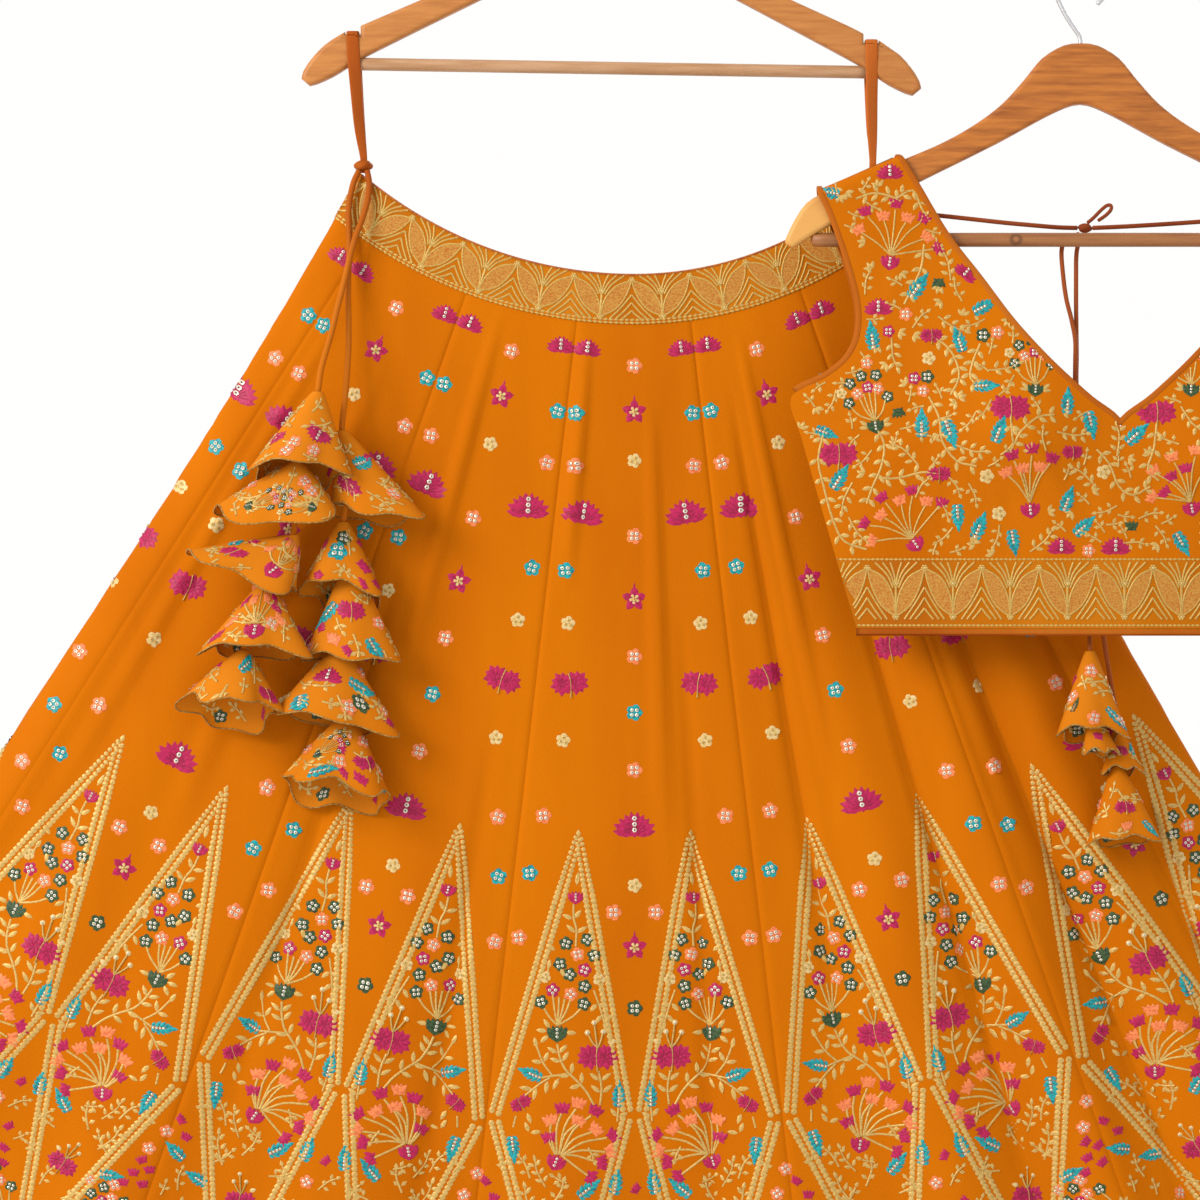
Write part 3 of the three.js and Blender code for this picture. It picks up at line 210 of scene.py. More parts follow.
# Bands, whose repeats are in degrees at the waist, bindings, tape loops and the drawstring's knot
BAND_OUT = 2.3
BAND_REPEAT_ANGLE = 7.15
BAND_APEX_ANGLE = -0.3
CHOLI_BAND = {"repeat": 40.0, "apex": 336.5}
PIPING = {"width": 4.4, "thickness": 2.4, "gap": -0.5}
KNOT = {"x": -181.5, "y": -5.0, "z": -267.5, "radii": (6.6, 6.4, 4.2)}
LOOP_LEFT = {"hanger_x": -186.5, "neck_x": -181.5, "neck_z": -267.5, "end_x": -181.4, "end_z": -272.6,
             "end_y": -4.3}
LOOP_RIGHT = {"hanger_x": 186.5, "neck_x": 184.6, "neck_z": -268.0, "end_x": 185.0, "end_z": -275.6,
              "end_y": -3.0}

# Hangers: the right half of each outline, x from the hanger's middle and z from the origin
WOOD_THICKNESS = 12.0
HOOK = {"radius": 19.0, "wire": 3.4, "stem_in": 12.0}
SKIRT_HANGER = {
    "x": 0.0, "y": 0.0, "tilt": 0.92, "bar_z": -196.7, "bar_radius": 4.6, "bar_half": 186.0,
    "hump": -72.0,
    "sharp": [(184, -178)],
    "outline": [
        (0, -72), (13, -74), (26, -87), (42, -104.5), (90, -128.5), (130, -146.5), (181, -169.5),
        (181, -176), (192, -176), (192, -174), (207, -184), (219, -198), (223, -208), (217, -213),
        (200, -206), (180, -193), (92, -147.6), (45, -124), (18, -110.5), (0, -107),
    ],
}
CHOLI_HANGER = {
    "x": 326.6, "y": -66.0, "tilt": 0.0, "bar_z": -326.0, "bar_radius": 5.0, "bar_half": 188.0,
    "hump": -187.9,
    "outline": [
        (0, -187.9), (12, -189.5), (27, -198.5), (40, -214), (55.4, -230.8), (75, -245.5),
        (98.3, -258.5), (129.4, -271.7), (182.6, -294), (193, -300.5), (201, -312), (208, -328),
        (203, -332), (180, -318), (150, -304), (113.8, -285.7), (60, -259), (20, -237.5), (0, -230.8),
    ],
}

# Floor and light: metres from the hem to the floor, the sky's strength, and the key light's watts
FLOOR_GAP = 0.012
WORLD_STRENGTH = 1.0
KEY_POWER = 112.0

# Colours, linear, and the share of each that a paint gives back
PALENESS = 0.76
COLOURS = {
    "cloth": (0.63, 0.157, 0.0003), "cloth_light": (0.70, 0.182, 0.0006),
    "cloth_deep": (0.56, 0.132, 0.0002), "choli": (0.62, 0.156, 0.0012), "band": (0.56, 0.160, 0.003),
    "band_deep": (0.48, 0.125, 0.004), "gold": (0.73, 0.47, 0.135), "gold_deep": (0.55, 0.33, 0.08),
    "gold_dark": (0.30, 0.14, 0.02), "stipple": (0.60, 0.29, 0.045), "cream": (0.80, 0.60, 0.28),
    "magenta": (0.56, 0.009, 0.100), "magenta_deep": (0.33, 0.006, 0.050), "peach": (0.95, 0.27, 0.085),
    # The sequin colour is near white as a painted glint; the sequins' own colour is nearer their flowers' colours
    "teal": (0.010, 0.43, 0.44), "green": (0.050, 0.100, 0.030), "sequin": (0.85, 0.80, 0.66),
    "cord": (0.56, 0.150, 0.010), "tie": (0.33, 0.072, 0.022), "tape": (0.56, 0.135, 0.018),
    "tape_deep": (0.36, 0.065, 0.008), "piping": (0.50, 0.125, 0.010),
    "wood_pale": (0.61, 0.236, 0.055), "wood_pale_dark": (0.46, 0.155, 0.030),
    "wood_brown": (0.59, 0.190, 0.028), "wood_brown_dark": (0.32, 0.085, 0.013),
    "bar": (0.60, 0.345, 0.187), "bar_dark": (0.45, 0.21, 0.08), "bar_brown": (0.41, 0.165, 0.055),
    "bar_brown_dark": (0.28, 0.10, 0.03), "band_gold": (0.70, 0.43, 0.10),
    "peach_deep": (0.72, 0.15, 0.05), "teal_deep": (0.006, 0.17, 0.20),
    "green_deep": (0.016, 0.036, 0.014), "sequin_deep": (0.62, 0.55, 0.42),
    "tie_deep": (0.24, 0.045, 0.012), "tie_end": (0.44, 0.105, 0.020),
    "tie_end_light": (0.50, 0.13, 0.03), "tape_light": (0.62, 0.17, 0.04),
    "band_light": (0.68, 0.225, 0.012), "tassel": (0.68, 0.195, 0.006),
    "tassel_light": (0.74, 0.23, 0.012), "piping_light": (0.58, 0.17, 0.018),
    # The hem colours are darker than the piping: partly a darker orange, partly painted shade under the upper hem
    # piping
    "piping_deep": (0.40, 0.085, 0.006), "hem": (0.36, 0.066, 0.004), "hem_shade_deep": (0.28, 0.045, 0.004),
}
# Knots of the brown hanger's wood and its pale left end: place, radius and colour
ARM_KNOTS = [
    ((222, -72, -242), 9, (0.10, 0.03, 0.008)), ((243, -72, -233), 6, (0.10, 0.03, 0.008)),
    ((205, -70, -252), 7, (0.10, 0.03, 0.008)), ((128, -72, -322), 52, (0.80, 0.40, 0.10)),
]
BAR_KNOTS = [((281, -71, -326), 5.5, (0.05, 0.02, 0.008)),
             ((281, -71, -326), 3.4, COLOURS["bar_brown"])]
# Cloths: the names of their main, light and deep colours, and their roughness
CLOTHS = {
    "cord_cloth": ("cord", "cloth", "tape_deep", 0.5),
    "tie_cloth": ("tie", "tape_deep", "tie_deep", 0.5),
    "tape_cloth": ("tape", "tape_light", "tape_deep", 0.5),
    "tie_end_cloth": ("tie_end", "tie_end_light", "tie", 0.5),
    "skirt_cloth": ("cloth", "cloth_light", "cloth_deep", 0.75),
    "choli_cloth": ("choli", "cloth_light", "cloth_deep", 0.75),
    "band_cloth": ("band", "band_light", "band_deep", 0.6),
    "tassel_cloth": ("tassel", "tassel_light", "choli", 0.75),
    "piping": ("piping", "piping_light", "piping_deep", 0.5),
    # Lower hem strip: a darker orange with painted shade under the upper piping
    "hem_piping_and_shade": ("hem", "piping", "hem_shade_deep", 0.5),
}
# Threads: name, the names of the main and deep colours, roughness, metal, sheen and strand scale
THREADS = {
    "gold": ("thread_gold", "gold", "gold_deep", 0.38, 0.2, 0.05, 420.0),
    "gold_deep": ("thread_gold_deep", "gold_dark", "gold_deep", 0.5, 0.1, 0.05, 420.0),
    "stipple": ("thread_stipple", "stipple", "band_deep", 0.5, 0.0, 0.05, 700.0),
    "band_gold": ("thread_band_gold", "band_gold", "gold_deep", 0.38, 0.2, 0.05, 420.0),
    "cream": ("thread_cream", "cream", "gold", 0.42, 0.1, 0.05, 420.0),
    "magenta": ("thread_magenta", "magenta", "magenta_deep", 0.45, 0.0, 0.05, 420.0),
    "magenta_deep": ("thread_magenta_deep", "magenta_deep", "magenta_deep", 0.5, 0.0, 0.05, 420.0),
    "peach": ("thread_peach", "peach", "peach_deep", 0.45, 0.0, 0.05, 420.0),
    "teal": ("thread_teal", "teal", "teal_deep", 0.42, 0.0, 0.05, 420.0),
    "green": ("thread_green", "green", "green_deep", 0.45, 0.0, 0.05, 420.0),
    # The sequins' near-white colour is a painted glint, on top of the real gloss of their material
    "sequin": ("sequins", "sequin", "sequin_deep", 0.22, 0.35, 0.0, 900.0),
    "cord": ("edge_cord", "cord", "tie", 0.5, 0.0, 0.05, 420.0),
}


def add_camera():
    data = bpy.data.cameras.new("camera")
    data.lens = CAMERA_LENS
    data.sensor_width = CAMERA_SENSOR
    camera = bpy.data.objects.new("camera", data)
    camera.location = [value * MM for value in CAMERA_PLACE]
    camera.rotation_euler = (math.pi / 2, 0, 0)
    bpy.context.scene.collection.objects.link(camera)
    bpy.context.scene.camera = camera


# Mesh helpers

def make_mesh(name, points, faces, material):
    """A new object from points in millimetres and faces of three or four corners."""
    mesh = bpy.data.meshes.new(name)
    points = np.asarray(points, dtype=np.float64) * MM
    if isinstance(faces, np.ndarray):
        corners = faces.shape[1]
        mesh.vertices.add(len(points))
        mesh.vertices.foreach_set("co", points.ravel())
        mesh.loops.add(faces.size)
        mesh.loops.foreach_set("vertex_index", faces.ravel().astype(np.int32))
        mesh.polygons.add(len(faces))
        mesh.polygons.foreach_set("loop_start", np.arange(0, faces.size, corners, dtype=np.int32))
        mesh.polygons.foreach_set("loop_total", np.full(len(faces), corners, dtype=np.int32))
        mesh.update(calc_edges=True)
        mesh.validate()
    else:
        mesh.from_pydata([tuple(point) for point in points], [], [tuple(face) for face in faces])
        mesh.update()
    mesh.polygons.foreach_set("use_smooth", np.ones(len(mesh.polygons), dtype=bool))
    piece = bpy.data.objects.new(name, mesh)
    piece.data.materials.append(material)
    bpy.context.scene.collection.objects.link(piece)
    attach(piece, "root")
    return piece


def grid_faces(rows, columns, closed=False):
    """Faces of a grid of points stored row by row."""
    row, column = np.meshgrid(np.arange(rows - 1), np.arange(columns if closed else columns - 1),
                              indexing="ij")
    following = (column + 1) % columns
    faces = np.stack([
        row * columns + column, (row + 1) * columns + column,
        (row + 1) * columns + following, row * columns + following], axis=-1)
    return faces.reshape(-1, 4)


def smooth_route(points, steps=6):
    """Points of a smooth curve through the given ones."""
    points = np.asarray(points, dtype=float)
    before = np.vstack([2 * points[0] - points[1], points[:-1]])
    after = np.vstack([points[1:], 2 * points[-1] - points[-2]])
    slopes = (after - before) / 2
    part = np.arange(steps) / steps
    part = part[None, :, None]
    first = points[:-1, None, :]
    second = points[1:, None, :]
    first_slope = slopes[:-1, None, :]
    second_slope = slopes[1:, None, :]
    curve = (
        first * (2 * part ** 3 - 3 * part ** 2 + 1) + first_slope * (part ** 3 - 2 * part ** 2 + part)
        + second * (3 * part ** 2 - 2 * part ** 3) + second_slope * (part ** 3 - part ** 2))
    return np.vstack([curve.reshape(-1, points.shape[1]), points[-1:]])


def crowded(count, pull=0.05):
    """Parts from 0 to 1 that lie a little closer to each other at both ends."""
    even = np.linspace(0, 1, count)
    return even - pull * np.sin(2 * np.pi * even)


# Materials

def paint(colour):
    return (*[value * PALENESS for value in colour], 1)


def new_material(name, colour, roughness=0.6, metallic=0.0, sheen=0.0, sheen_tint=None,
                 sheen_roughness=0.5):
    material = bpy.data.materials.new(name)
    material.use_nodes = True
    shader = material.node_tree.nodes["Principled BSDF"]
    shader.inputs["Base Color"].default_value = paint(colour)
    shader.inputs["Roughness"].default_value = roughness
    shader.inputs["Metallic"].default_value = metallic
    shader.inputs["Sheen Weight"].default_value = sheen
    shader.inputs["Sheen Roughness"].default_value = sheen_roughness
    if sheen_tint:
        shader.inputs["Sheen Tint"].default_value = (*sheen_tint, 1)
    return material


def node(material, kind, **settings):
    made = material.node_tree.nodes.new(kind)
    for name, value in settings.items():
        if name in made.inputs:
            made.inputs[name].default_value = value
        else:
            setattr(made, name, value)
    return made


def join(material, source, output, target, name):
    material.node_tree.links.new(source.outputs[output], target.inputs[name])


def stretched_noise(material, stretch, scale, detail=3.0, roughness=0.5):
    """Noise in the object's own metres, stretched along its axes."""
    place = node(material, "ShaderNodeTexCoord")
    mapping = node(material, "ShaderNodeMapping")
    mapping.inputs["Scale"].default_value = stretch
    noise = node(material, "ShaderNodeTexNoise")
    noise.inputs["Scale"].default_value = scale
    noise.inputs["Detail"].default_value = detail
    noise.inputs["Roughness"].default_value = roughness
    join(material, place, "Object", mapping, "Vector")
    join(material, mapping, "Vector", noise, "Vector")
    return noise


def ramp(material, source, output, stops):
    made = node(material, "ShaderNodeValToRGB")
    elements = made.color_ramp.elements
    while len(elements) < len(stops):
        elements.new(0.5)
    for element, (position, colour) in zip(elements, stops):
        element.position = position
        element.color = paint(colour)
    join(material, source, output, made, "Fac")
    return made


def add_bump(material, source, output, distance, strength=1.0):
    bump = node(material, "ShaderNodeBump")
    bump.inputs["Distance"].default_value = distance
    bump.inputs["Strength"].default_value = strength
    join(material, source, output, bump, "Height")
    join(material, bump, "Normal", material.node_tree.nodes["Principled BSDF"], "Normal")


def cloth_material(name, base, light, deep, roughness):
    """Plain-woven crepe: slow changes of shade, a fine weave and a soft sheen."""
    material = new_material(name, base, roughness, sheen=0.03, sheen_tint=(1.0, 0.5, 0.08),
                            sheen_roughness=0.45)
    shader = material.node_tree.nodes["Principled BSDF"]
    shader.inputs["Specular IOR Level"].default_value = 0.04
    shade = stretched_noise(material, (1, 1, 0.25), 9.0, 4.0, 0.55)
    tones = ramp(material, shade, "Fac", [(0.30, deep), (0.50, base), (0.72, light)])
    join(material, tones, "Color", shader, "Base Color")
    weave = stretched_noise(material, (1, 1, 0.55), 1500.0, 2.0, 0.6)
    add_bump(material, weave, "Fac", 0.0005, 0.4)
    return material


def thread_material(name, base, deep, roughness, metallic, sheen, scale):
    """Embroidery thread: short light and dark strands."""
    material = new_material(name, base, roughness, metallic, sheen=sheen, sheen_tint=(1, 0.9, 0.8))
    shader = material.node_tree.nodes["Principled BSDF"]
    shader.inputs["Specular IOR Level"].default_value = 0.25
    strands = stretched_noise(material, (1.0, 1.0, 1.6), scale, 2.0, 0.6)
    tones = ramp(material, strands, "Fac", [(0.34, deep), (0.58, base)])
    join(material, tones, "Color", shader, "Base Color")
    add_bump(material, strands, "Fac", 0.0005, 0.6)
    return material


def wood_material(name, pale, dark, knots=()):
    """Varnished wood with grain along X; knots are (place, radius, colour) in millimetres."""
    material = new_material(name, pale, 0.42)
    shader = material.node_tree.nodes["Principled BSDF"]
    shader.inputs["Specular IOR Level"].default_value = 0.3
    grain = stretched_noise(material, (2.2, 20, 26), 9.0, 6.0, 0.62)
    middle = tuple((a + b) / 2 for a, b in zip(pale, dark))
    tones = ramp(material, grain, "Fac", [(0.28, dark), (0.44, middle), (0.60, pale)])
    links = material.node_tree.links
    place = node(material, "ShaderNodeTexCoord")
    colour = tones.outputs["Color"]
    for spot, radius, shade in knots:
        apart = node(material, "ShaderNodeVectorMath", operation="DISTANCE")
        apart.inputs[1].default_value = [value * MM for value in spot]
        links.new(place.outputs["Object"], apart.inputs[0])
        near = node(material, "ShaderNodeMapRange")
        near.inputs["From Min"].default_value = radius * MM
        near.inputs["From Max"].default_value = radius * 0.35 * MM
        links.new(apart.outputs["Value"], near.inputs["Value"])
        mix = node(material, "ShaderNodeMix", data_type="RGBA")
        first, second = [socket for socket in mix.inputs if socket.type == "RGBA"]
        second.default_value = paint(shade)
        links.new(near.outputs["Result"], mix.inputs["Factor"])
        links.new(colour, first)
        colour = [socket for socket in mix.outputs if socket.type == "RGBA"][0]
    links.new(colour, shader.inputs["Base Color"])
    add_bump(material, grain, "Fac", 0.0004, 0.4)
    return material


# Surfaces of the skirt

def outline_angle(side, radius):
    below = np.maximum(radius - FAN["waist"], 0)
    return OUTLINE[side] + OUTLINE["flare"] * np.exp(-below / OUTLINE["flare_length"])


def wrapped(turn):
    return turn - TURN * np.round(turn / TURN)


def fold_height(turn, radius):
    height = np.zeros_like(radius)
    for fold in SKIRT_FOLDS:
        away = wrapped(turn - fold["at"])
        grown = np.clip((radius - fold["start"]) / (FAN["hem"] - fold["start"]), 0, 1)
        wave = np.cos(np.pi / 2 * np.clip(away / fold["half"], -1, 1)) ** 2
        height += fold["height"] * grown ** FOLD_POWER * wave
    for crease in SOFT_CREASES:
        away = wrapped(turn - crease["at"])
        place = np.clip((radius - crease["start"]) / (crease["end"] - crease["start"]), 0, 1)
        wave = np.cos(np.pi / 2 * np.clip(away / crease["half"], -1, 1)) ** 2
        height += CREASE_DEPTH * crease["height"] * np.sin(np.pi * place) ** 0.8 * wave
    return height


def seam_pinch(turn, radius):
    """Depth of the little valley along each seam below the waistband."""
    place = (turn - GORES["first"]) / GORES["angle"]
    away = (place - np.round(place)) * GORES["angle"] * np.pi / 180 * radius
    below_band = np.clip((radius - FAN["waist"] - FAN["band"]) / 6, 0, 1)
    return SEAM_PINCH["depth"] * below_band * np.exp(-(away / SEAM_PINCH["width"]) ** 2)


def skirt_point(turn, radius):
    turn, radius = np.broadcast_arrays(np.asarray(turn, float), np.asarray(radius, float))
    left = outline_angle("left", radius)
    right = outline_angle("right", radius)
    along = np.mod(turn + left, TURN)
    front = left + right
    is_front = along <= front
    angle = np.where(is_front, along - left, right - (along - front) * front / (TURN - front))
    across = np.clip(np.abs(angle - (right - left) / 2) / (front / 2), 0, 1)
    lens = (1 - across ** SKIRT_DEPTH["roundness"]) ** (1 / SKIRT_DEPTH["roundness"])
    grown = (radius - FAN["waist"]) / (FAN["hem"] - FAN["waist"])
    depth = SKIRT_DEPTH["waist"] + (SKIRT_DEPTH["hem"] - SKIRT_DEPTH["waist"]) * grown
    depth = depth + fold_height(along - left, radius) - seam_pinch(turn, radius)
    y = np.where(is_front, -1, 1) * lens * depth
    bowed = np.where(angle < 0, BOW["left"] * (angle / left) ** 2, BOW["right"] * (angle / right) ** 2)
    reach = radius - bowed * np.clip(1 - (radius - FAN["waist"]) / BOW["fade"], 0, 1)
    radians = np.radians(angle)
    x = FAN["x"] + reach * np.sin(radians)
    return np.stack([x, y, FAN["z"] - reach * np.cos(radians)], axis=-1)


def unit(vectors):
    lengths = np.linalg.norm(vectors, axis=-1, keepdims=True)
    return vectors / np.maximum(lengths, 1e-9)


def skirt_normal(turn, radius):
    across = skirt_point(turn + 0.3, radius) - skirt_point(turn - 0.3, radius)
    down = skirt_point(turn, radius + 2.0) - skirt_point(turn, radius - 2.0)
    return unit(np.cross(down, across))


def skirt_surface(turn, radius, out):
    """A point of the skirt, moved out of the cloth by out millimetres."""
    turn, radius = np.broadcast_arrays(np.asarray(turn, float), np.asarray(radius, float))
    return skirt_point(turn, radius) + skirt_normal(turn, radius) * np.asarray(out)[..., None]


def gore_start(number):
    return GORES["first"] + (number - 1) * GORES["angle"]


# The gores' grid: columns, the closer ones where a side folds, and rows above and below a change
GORE_GRID = {"columns": 33, "fold_columns": 36, "upper_rows": 30, "lower_rows": 44, "change": 620}


def add_gore(number, material):
    start = gore_start(number)
    end = start + GORES["angle"]
    near_seam = np.array([0.0, 0.07, 0.16])
    middle = np.linspace(start + 0.4, end - 0.4, GORE_GRID["columns"])
    turns = np.concatenate([start + near_seam, middle, end - near_seam[::-1]])
    right = float(outline_angle("right", FAN["hem"]))
    left = TURN - float(outline_angle("left", FAN["hem"]))
    for low, high in ((right - 1.1, right + 3.4), (left - 3.6, left + 1.1)):
        if start < high and low < end:
            extra = np.linspace(max(low, start + 0.3), min(high, end - 0.3), GORE_GRID["fold_columns"])
            turns = np.unique(np.concatenate([turns, extra]))
    top = FAN["waist"] + FAN["band"] - 1.5
    upper = np.linspace(top, GORE_GRID["change"], GORE_GRID["upper_rows"])[:-1]
    radii = np.concatenate([upper,
                            np.linspace(GORE_GRID["change"], FAN["hem"], GORE_GRID["lower_rows"])])
    points = skirt_surface(turns[None, :], radii[:, None], CLOTH_OUT)
    hem = points[-1]
    inward = skirt_normal(turns, np.full_like(turns, FAN["hem"])) * -1.3
    turned_up = [hem + inward,
                 skirt_surface(turns, np.full_like(turns, FAN["hem"] - 14), CLOTH_OUT - 1.6)]
    points = np.concatenate([points, np.stack(turned_up)])
    rows, columns = points.shape[:2]
    name = f"gore_{number:02d}"
    piece = make_mesh(name, points.reshape(-1, 3), grid_faces(rows, columns), material)
    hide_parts(f"skirt_kali_{number:02d}")


def add_waistband(side, material):
    radii = np.linspace(FAN["waist"], FAN["waist"] + FAN["band"], 9)
    part = crowded(90, 0.06)
    turns = []
    for radius in radii:
        left = -float(outline_angle("left", radius))
        right = float(outline_angle("right", radius))
        low, high = (left, right) if side == "front" else (right, TURN + left)
        turns.append(low + (high - low) * part)
    outer = [skirt_surface(turn, np.full_like(turn, radius), BAND_OUT)
             for turn, radius in zip(turns, radii)]
    inside = [skirt_surface(turns[-1], np.full_like(turns[-1], radii[-1]), BAND_OUT - 2.4),
              skirt_surface(turns[0], np.full_like(turns[0], radii[0]), BAND_OUT - 2.2)]
    points = np.stack(inside + outer)
    piece = make_mesh(f"band_{side}", points.reshape(-1, 3), grid_faces(*points.shape[:2]), material)
    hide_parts(f"waistband_{side}")


# Cords and tapes

def add_tube(name, route, diameter, material, sides=10):
    """A round tube on a smooth line through the route's points."""
    line = smooth_route(route, 5)
    along = unit(np.gradient(line, axis=0))
    side = unit(np.cross(along, np.array([0.0, 1.0, 0.02])))
    up = np.cross(side, along)
    turns = np.linspace(0, 2 * np.pi, sides, endpoint=False)
    ring = (np.cos(turns)[None, :, None] * side[:, None, :]
            + np.sin(turns)[None, :, None] * up[:, None, :])
    points = (line[:, None, :] + ring * diameter / 2).reshape(-1, 3)
    faces = [tuple(face) for face in grid_faces(len(line), sides, closed=True)]
    first = len(points)
    points = np.vstack([points, line[0] - along[0] * diameter * 0.2,
                        line[-1] + along[-1] * diameter * 0.2])
    last_ring = (len(line) - 1) * sides
    for corner in range(sides):
        following = (corner + 1) % sides
        faces.append((first, corner, following))
        faces.append((first + 1, last_ring + following, last_ring + corner))
    piece = make_mesh(name, points, faces, material)
    return piece, line


def add_ball(name, knot, material, lobes, node_name):
    """A small knot: an ellipsoid with wrapped turns round it."""
    radii = knot["radii"]
    rows = 13
    columns = 24
    down = np.linspace(0.02, np.pi - 0.02, rows)[:, None]
    turn = np.linspace(0, 2 * np.pi, columns, endpoint=False)[None, :]
    swell = 1 + 0.09 * np.cos(lobes * turn + 3.5 * down)
    points = np.stack([
        knot["x"] + radii[0] * np.sin(down) * np.cos(turn) * swell,
        knot["y"] + radii[1] * np.sin(down) * np.sin(turn) * swell,
        knot["z"] + radii[2] * np.cos(down) + 0 * turn], axis=-1)
    piece = make_mesh(name, points.reshape(-1, 3), grid_faces(rows, columns, closed=True), material)
    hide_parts(node_name)


# Tassels

def tassel_point(tassel, cord_diameter, turn, down):
    turn, down = np.broadcast_arrays(np.asarray(turn, float), np.asarray(down, float))
    neck = cord_diameter / 2 + CONE["clearance"] + CONE["wall"]
    half_x = (tassel["right_x"] - tassel["left_x"]) / 2
    half_z = (tassel["right_z"] - tassel["left_z"]) / 2
    grown = np.maximum(down, 0) ** 0.9
    wave = np.cos(tassel["waves"] * turn + tassel["phase"])
    flute = np.cos((tassel["waves"] + 2) * turn + 2.3 * tassel["phase"])
    swell = 1 + 0.10 * grown * wave + 0.09 * grown ** 2 * flute
    wide = neck + (half_x - neck) * grown
    deep = neck + (tassel["depth"] - neck) * grown
    front = np.maximum(-np.sin(turn), 0)
    back = np.maximum(np.sin(turn), 0)
    droop = (tassel["droop"] * front + tassel["mouth"] * (back - 0.6 * front)) * down
    ripple = tassel["wave"] / 2 * np.cos(tassel["waves"] * turn + tassel["phase"] + 1) * down
    ripple = ripple + 2.2 * flute * down ** 3
    middle_x = tassel["x"] + ((tassel["left_x"] + tassel["right_x"]) / 2 - tassel["x"]) * down
    middle_z = tassel["z"] + ((tassel["left_z"] + tassel["right_z"]) / 2 - tassel["z"]) * down
    return np.stack([
        middle_x + wide * swell * np.cos(turn),
        tassel["y"] + (tassel["rim_y"] - tassel["y"]) * down + deep * swell * np.sin(turn),
        middle_z + half_z * grown * np.cos(turn) - droop - ripple], axis=-1)


def tassel_surface(tassel, cord_diameter, turn, down, out):
    turn, down = np.broadcast_arrays(np.asarray(turn, float), np.asarray(down, float))
    step = 0.03
    across = tassel_point(tassel, cord_diameter, turn + step, down) - tassel_point(
        tassel, cord_diameter, turn - step, down)
    along = tassel_point(tassel, cord_diameter, turn, down + step) - tassel_point(
        tassel, cord_diameter, turn, np.maximum(down - step, 0))
    normal = unit(np.cross(across, along)) * -1
    outward = np.stack([np.cos(turn), np.sin(turn), 0 * turn], axis=-1)
    normal = np.where((normal * outward).sum(axis=-1, keepdims=True) < 0, -normal, normal)
    return tassel_point(tassel, cord_diameter, turn, down) + normal * np.asarray(out)[..., None]


def add_tassel(tassel, cord_diameter, cloth, edge):
    columns = 72
    rows = 22
    turns = np.linspace(0, 2 * np.pi, columns, endpoint=False)
    downs = np.linspace(0, 1, rows)
    points = tassel_surface(tassel, cord_diameter, turns[None, :], downs[:, None], 0.0)
    piece = make_mesh(f"cone_{tassel['name']}", points.reshape(-1, 3),
                      grid_faces(rows, columns, closed=True), cloth)
    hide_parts(tassel["name"])
    whole_turn = np.append(turns, turns[:1])
    rim = tassel_surface(tassel, cord_diameter, whole_turn, np.ones(columns + 1), 0.0)
    rim_piece, _ = add_tube(f"edge_{tassel['name']}", rim, 1.1, edge, sides=5)
    return piece, rim_piece


# Choli surface

def smooth_value(column, place):
    table = np.asarray(column, float)
    low = np.clip(np.floor(place).astype(int), 0, len(table) - 2)
    part = place - low
    first = table[low]
    second = table[low + 1]
    first_slope = (second - table[np.maximum(low - 1, 0)]) / 2
    second_slope = (table[np.minimum(low + 2, len(table) - 1)] - first) / 2
    square = part * part
    cube = square * part
    return (first * (2 * cube - 3 * square + 1) + first_slope * (cube - 2 * square + part)
            + second * (3 * square - 2 * cube) + second_slope * (cube - square))


def choli_point(side, across, row):
    """A point of the left half, in front of or behind the middle plane."""
    across, row = np.broadcast_arrays(np.asarray(across, float), np.asarray(row, float))
    value = {key: smooth_value(column, row) for key, column in CHOLI_ROWS.items()}
    is_back = side > 0
    inner_x = np.minimum(value["inner_x"], CHOLI["centre"]) - (value["inward"] if is_back else 0)
    inner_z = value["inner_z"] - (value["down"] if is_back else 0)
    x = value["outer_x"] + (inner_x - value["outer_x"]) * across
    z = value["outer_z"] + (inner_z - value["outer_z"]) * across
    full = value["back_full"] if is_back else value["full"]
    swell = 1 - (1 - np.clip(across, 0, 1)) ** SWELL_POWER
    out = value["edge"] + (full - value["edge"]) * swell
    inside = np.clip(across * 3, 0, 1) * np.clip((1 - across) * 6, 0, 1)
    if not is_back:
        away = ((x - CHOLI["centre"] + BUST["x"]) / BUST["width"]) ** 2
        away = away + ((z - BUST["z"]) / BUST["height"]) ** 2
        out = out + BUST["rise"] * np.exp(-away) * np.clip(across * 3, 0, 1)
        dart = np.exp(-((x - DART["x"]) / DART["width"]) ** 2)
        dart = dart * np.clip((DART["top"] - z) / 12, 0, 1) * np.clip((z - DART["bottom"]) / 3, 0, 1)
        out = out - DART["depth"] * dart
    for crease in CHOLI_CREASES:
        turned = math.radians(crease["angle"])
        ahead = (x - crease["x"]) * math.sin(turned) + (z - crease["z"]) * math.cos(turned)
        beside = (x - crease["x"]) * math.cos(turned) - (z - crease["z"]) * math.sin(turned)
        bump = np.exp(-(ahead / crease["length"]) ** 2 - (beside / crease["width"]) ** 2)
        out = out + crease["height"] * bump * inside * (0.6 if is_back else 1)
    return np.stack([x, CHOLI["plane"] + side * (out + CHOLI_OUT), z], axis=-1)


def mirrored(points):
    turned = np.array(points, float)
    turned[..., 0] = 2 * CHOLI["centre"] - turned[..., 0]
    return turned


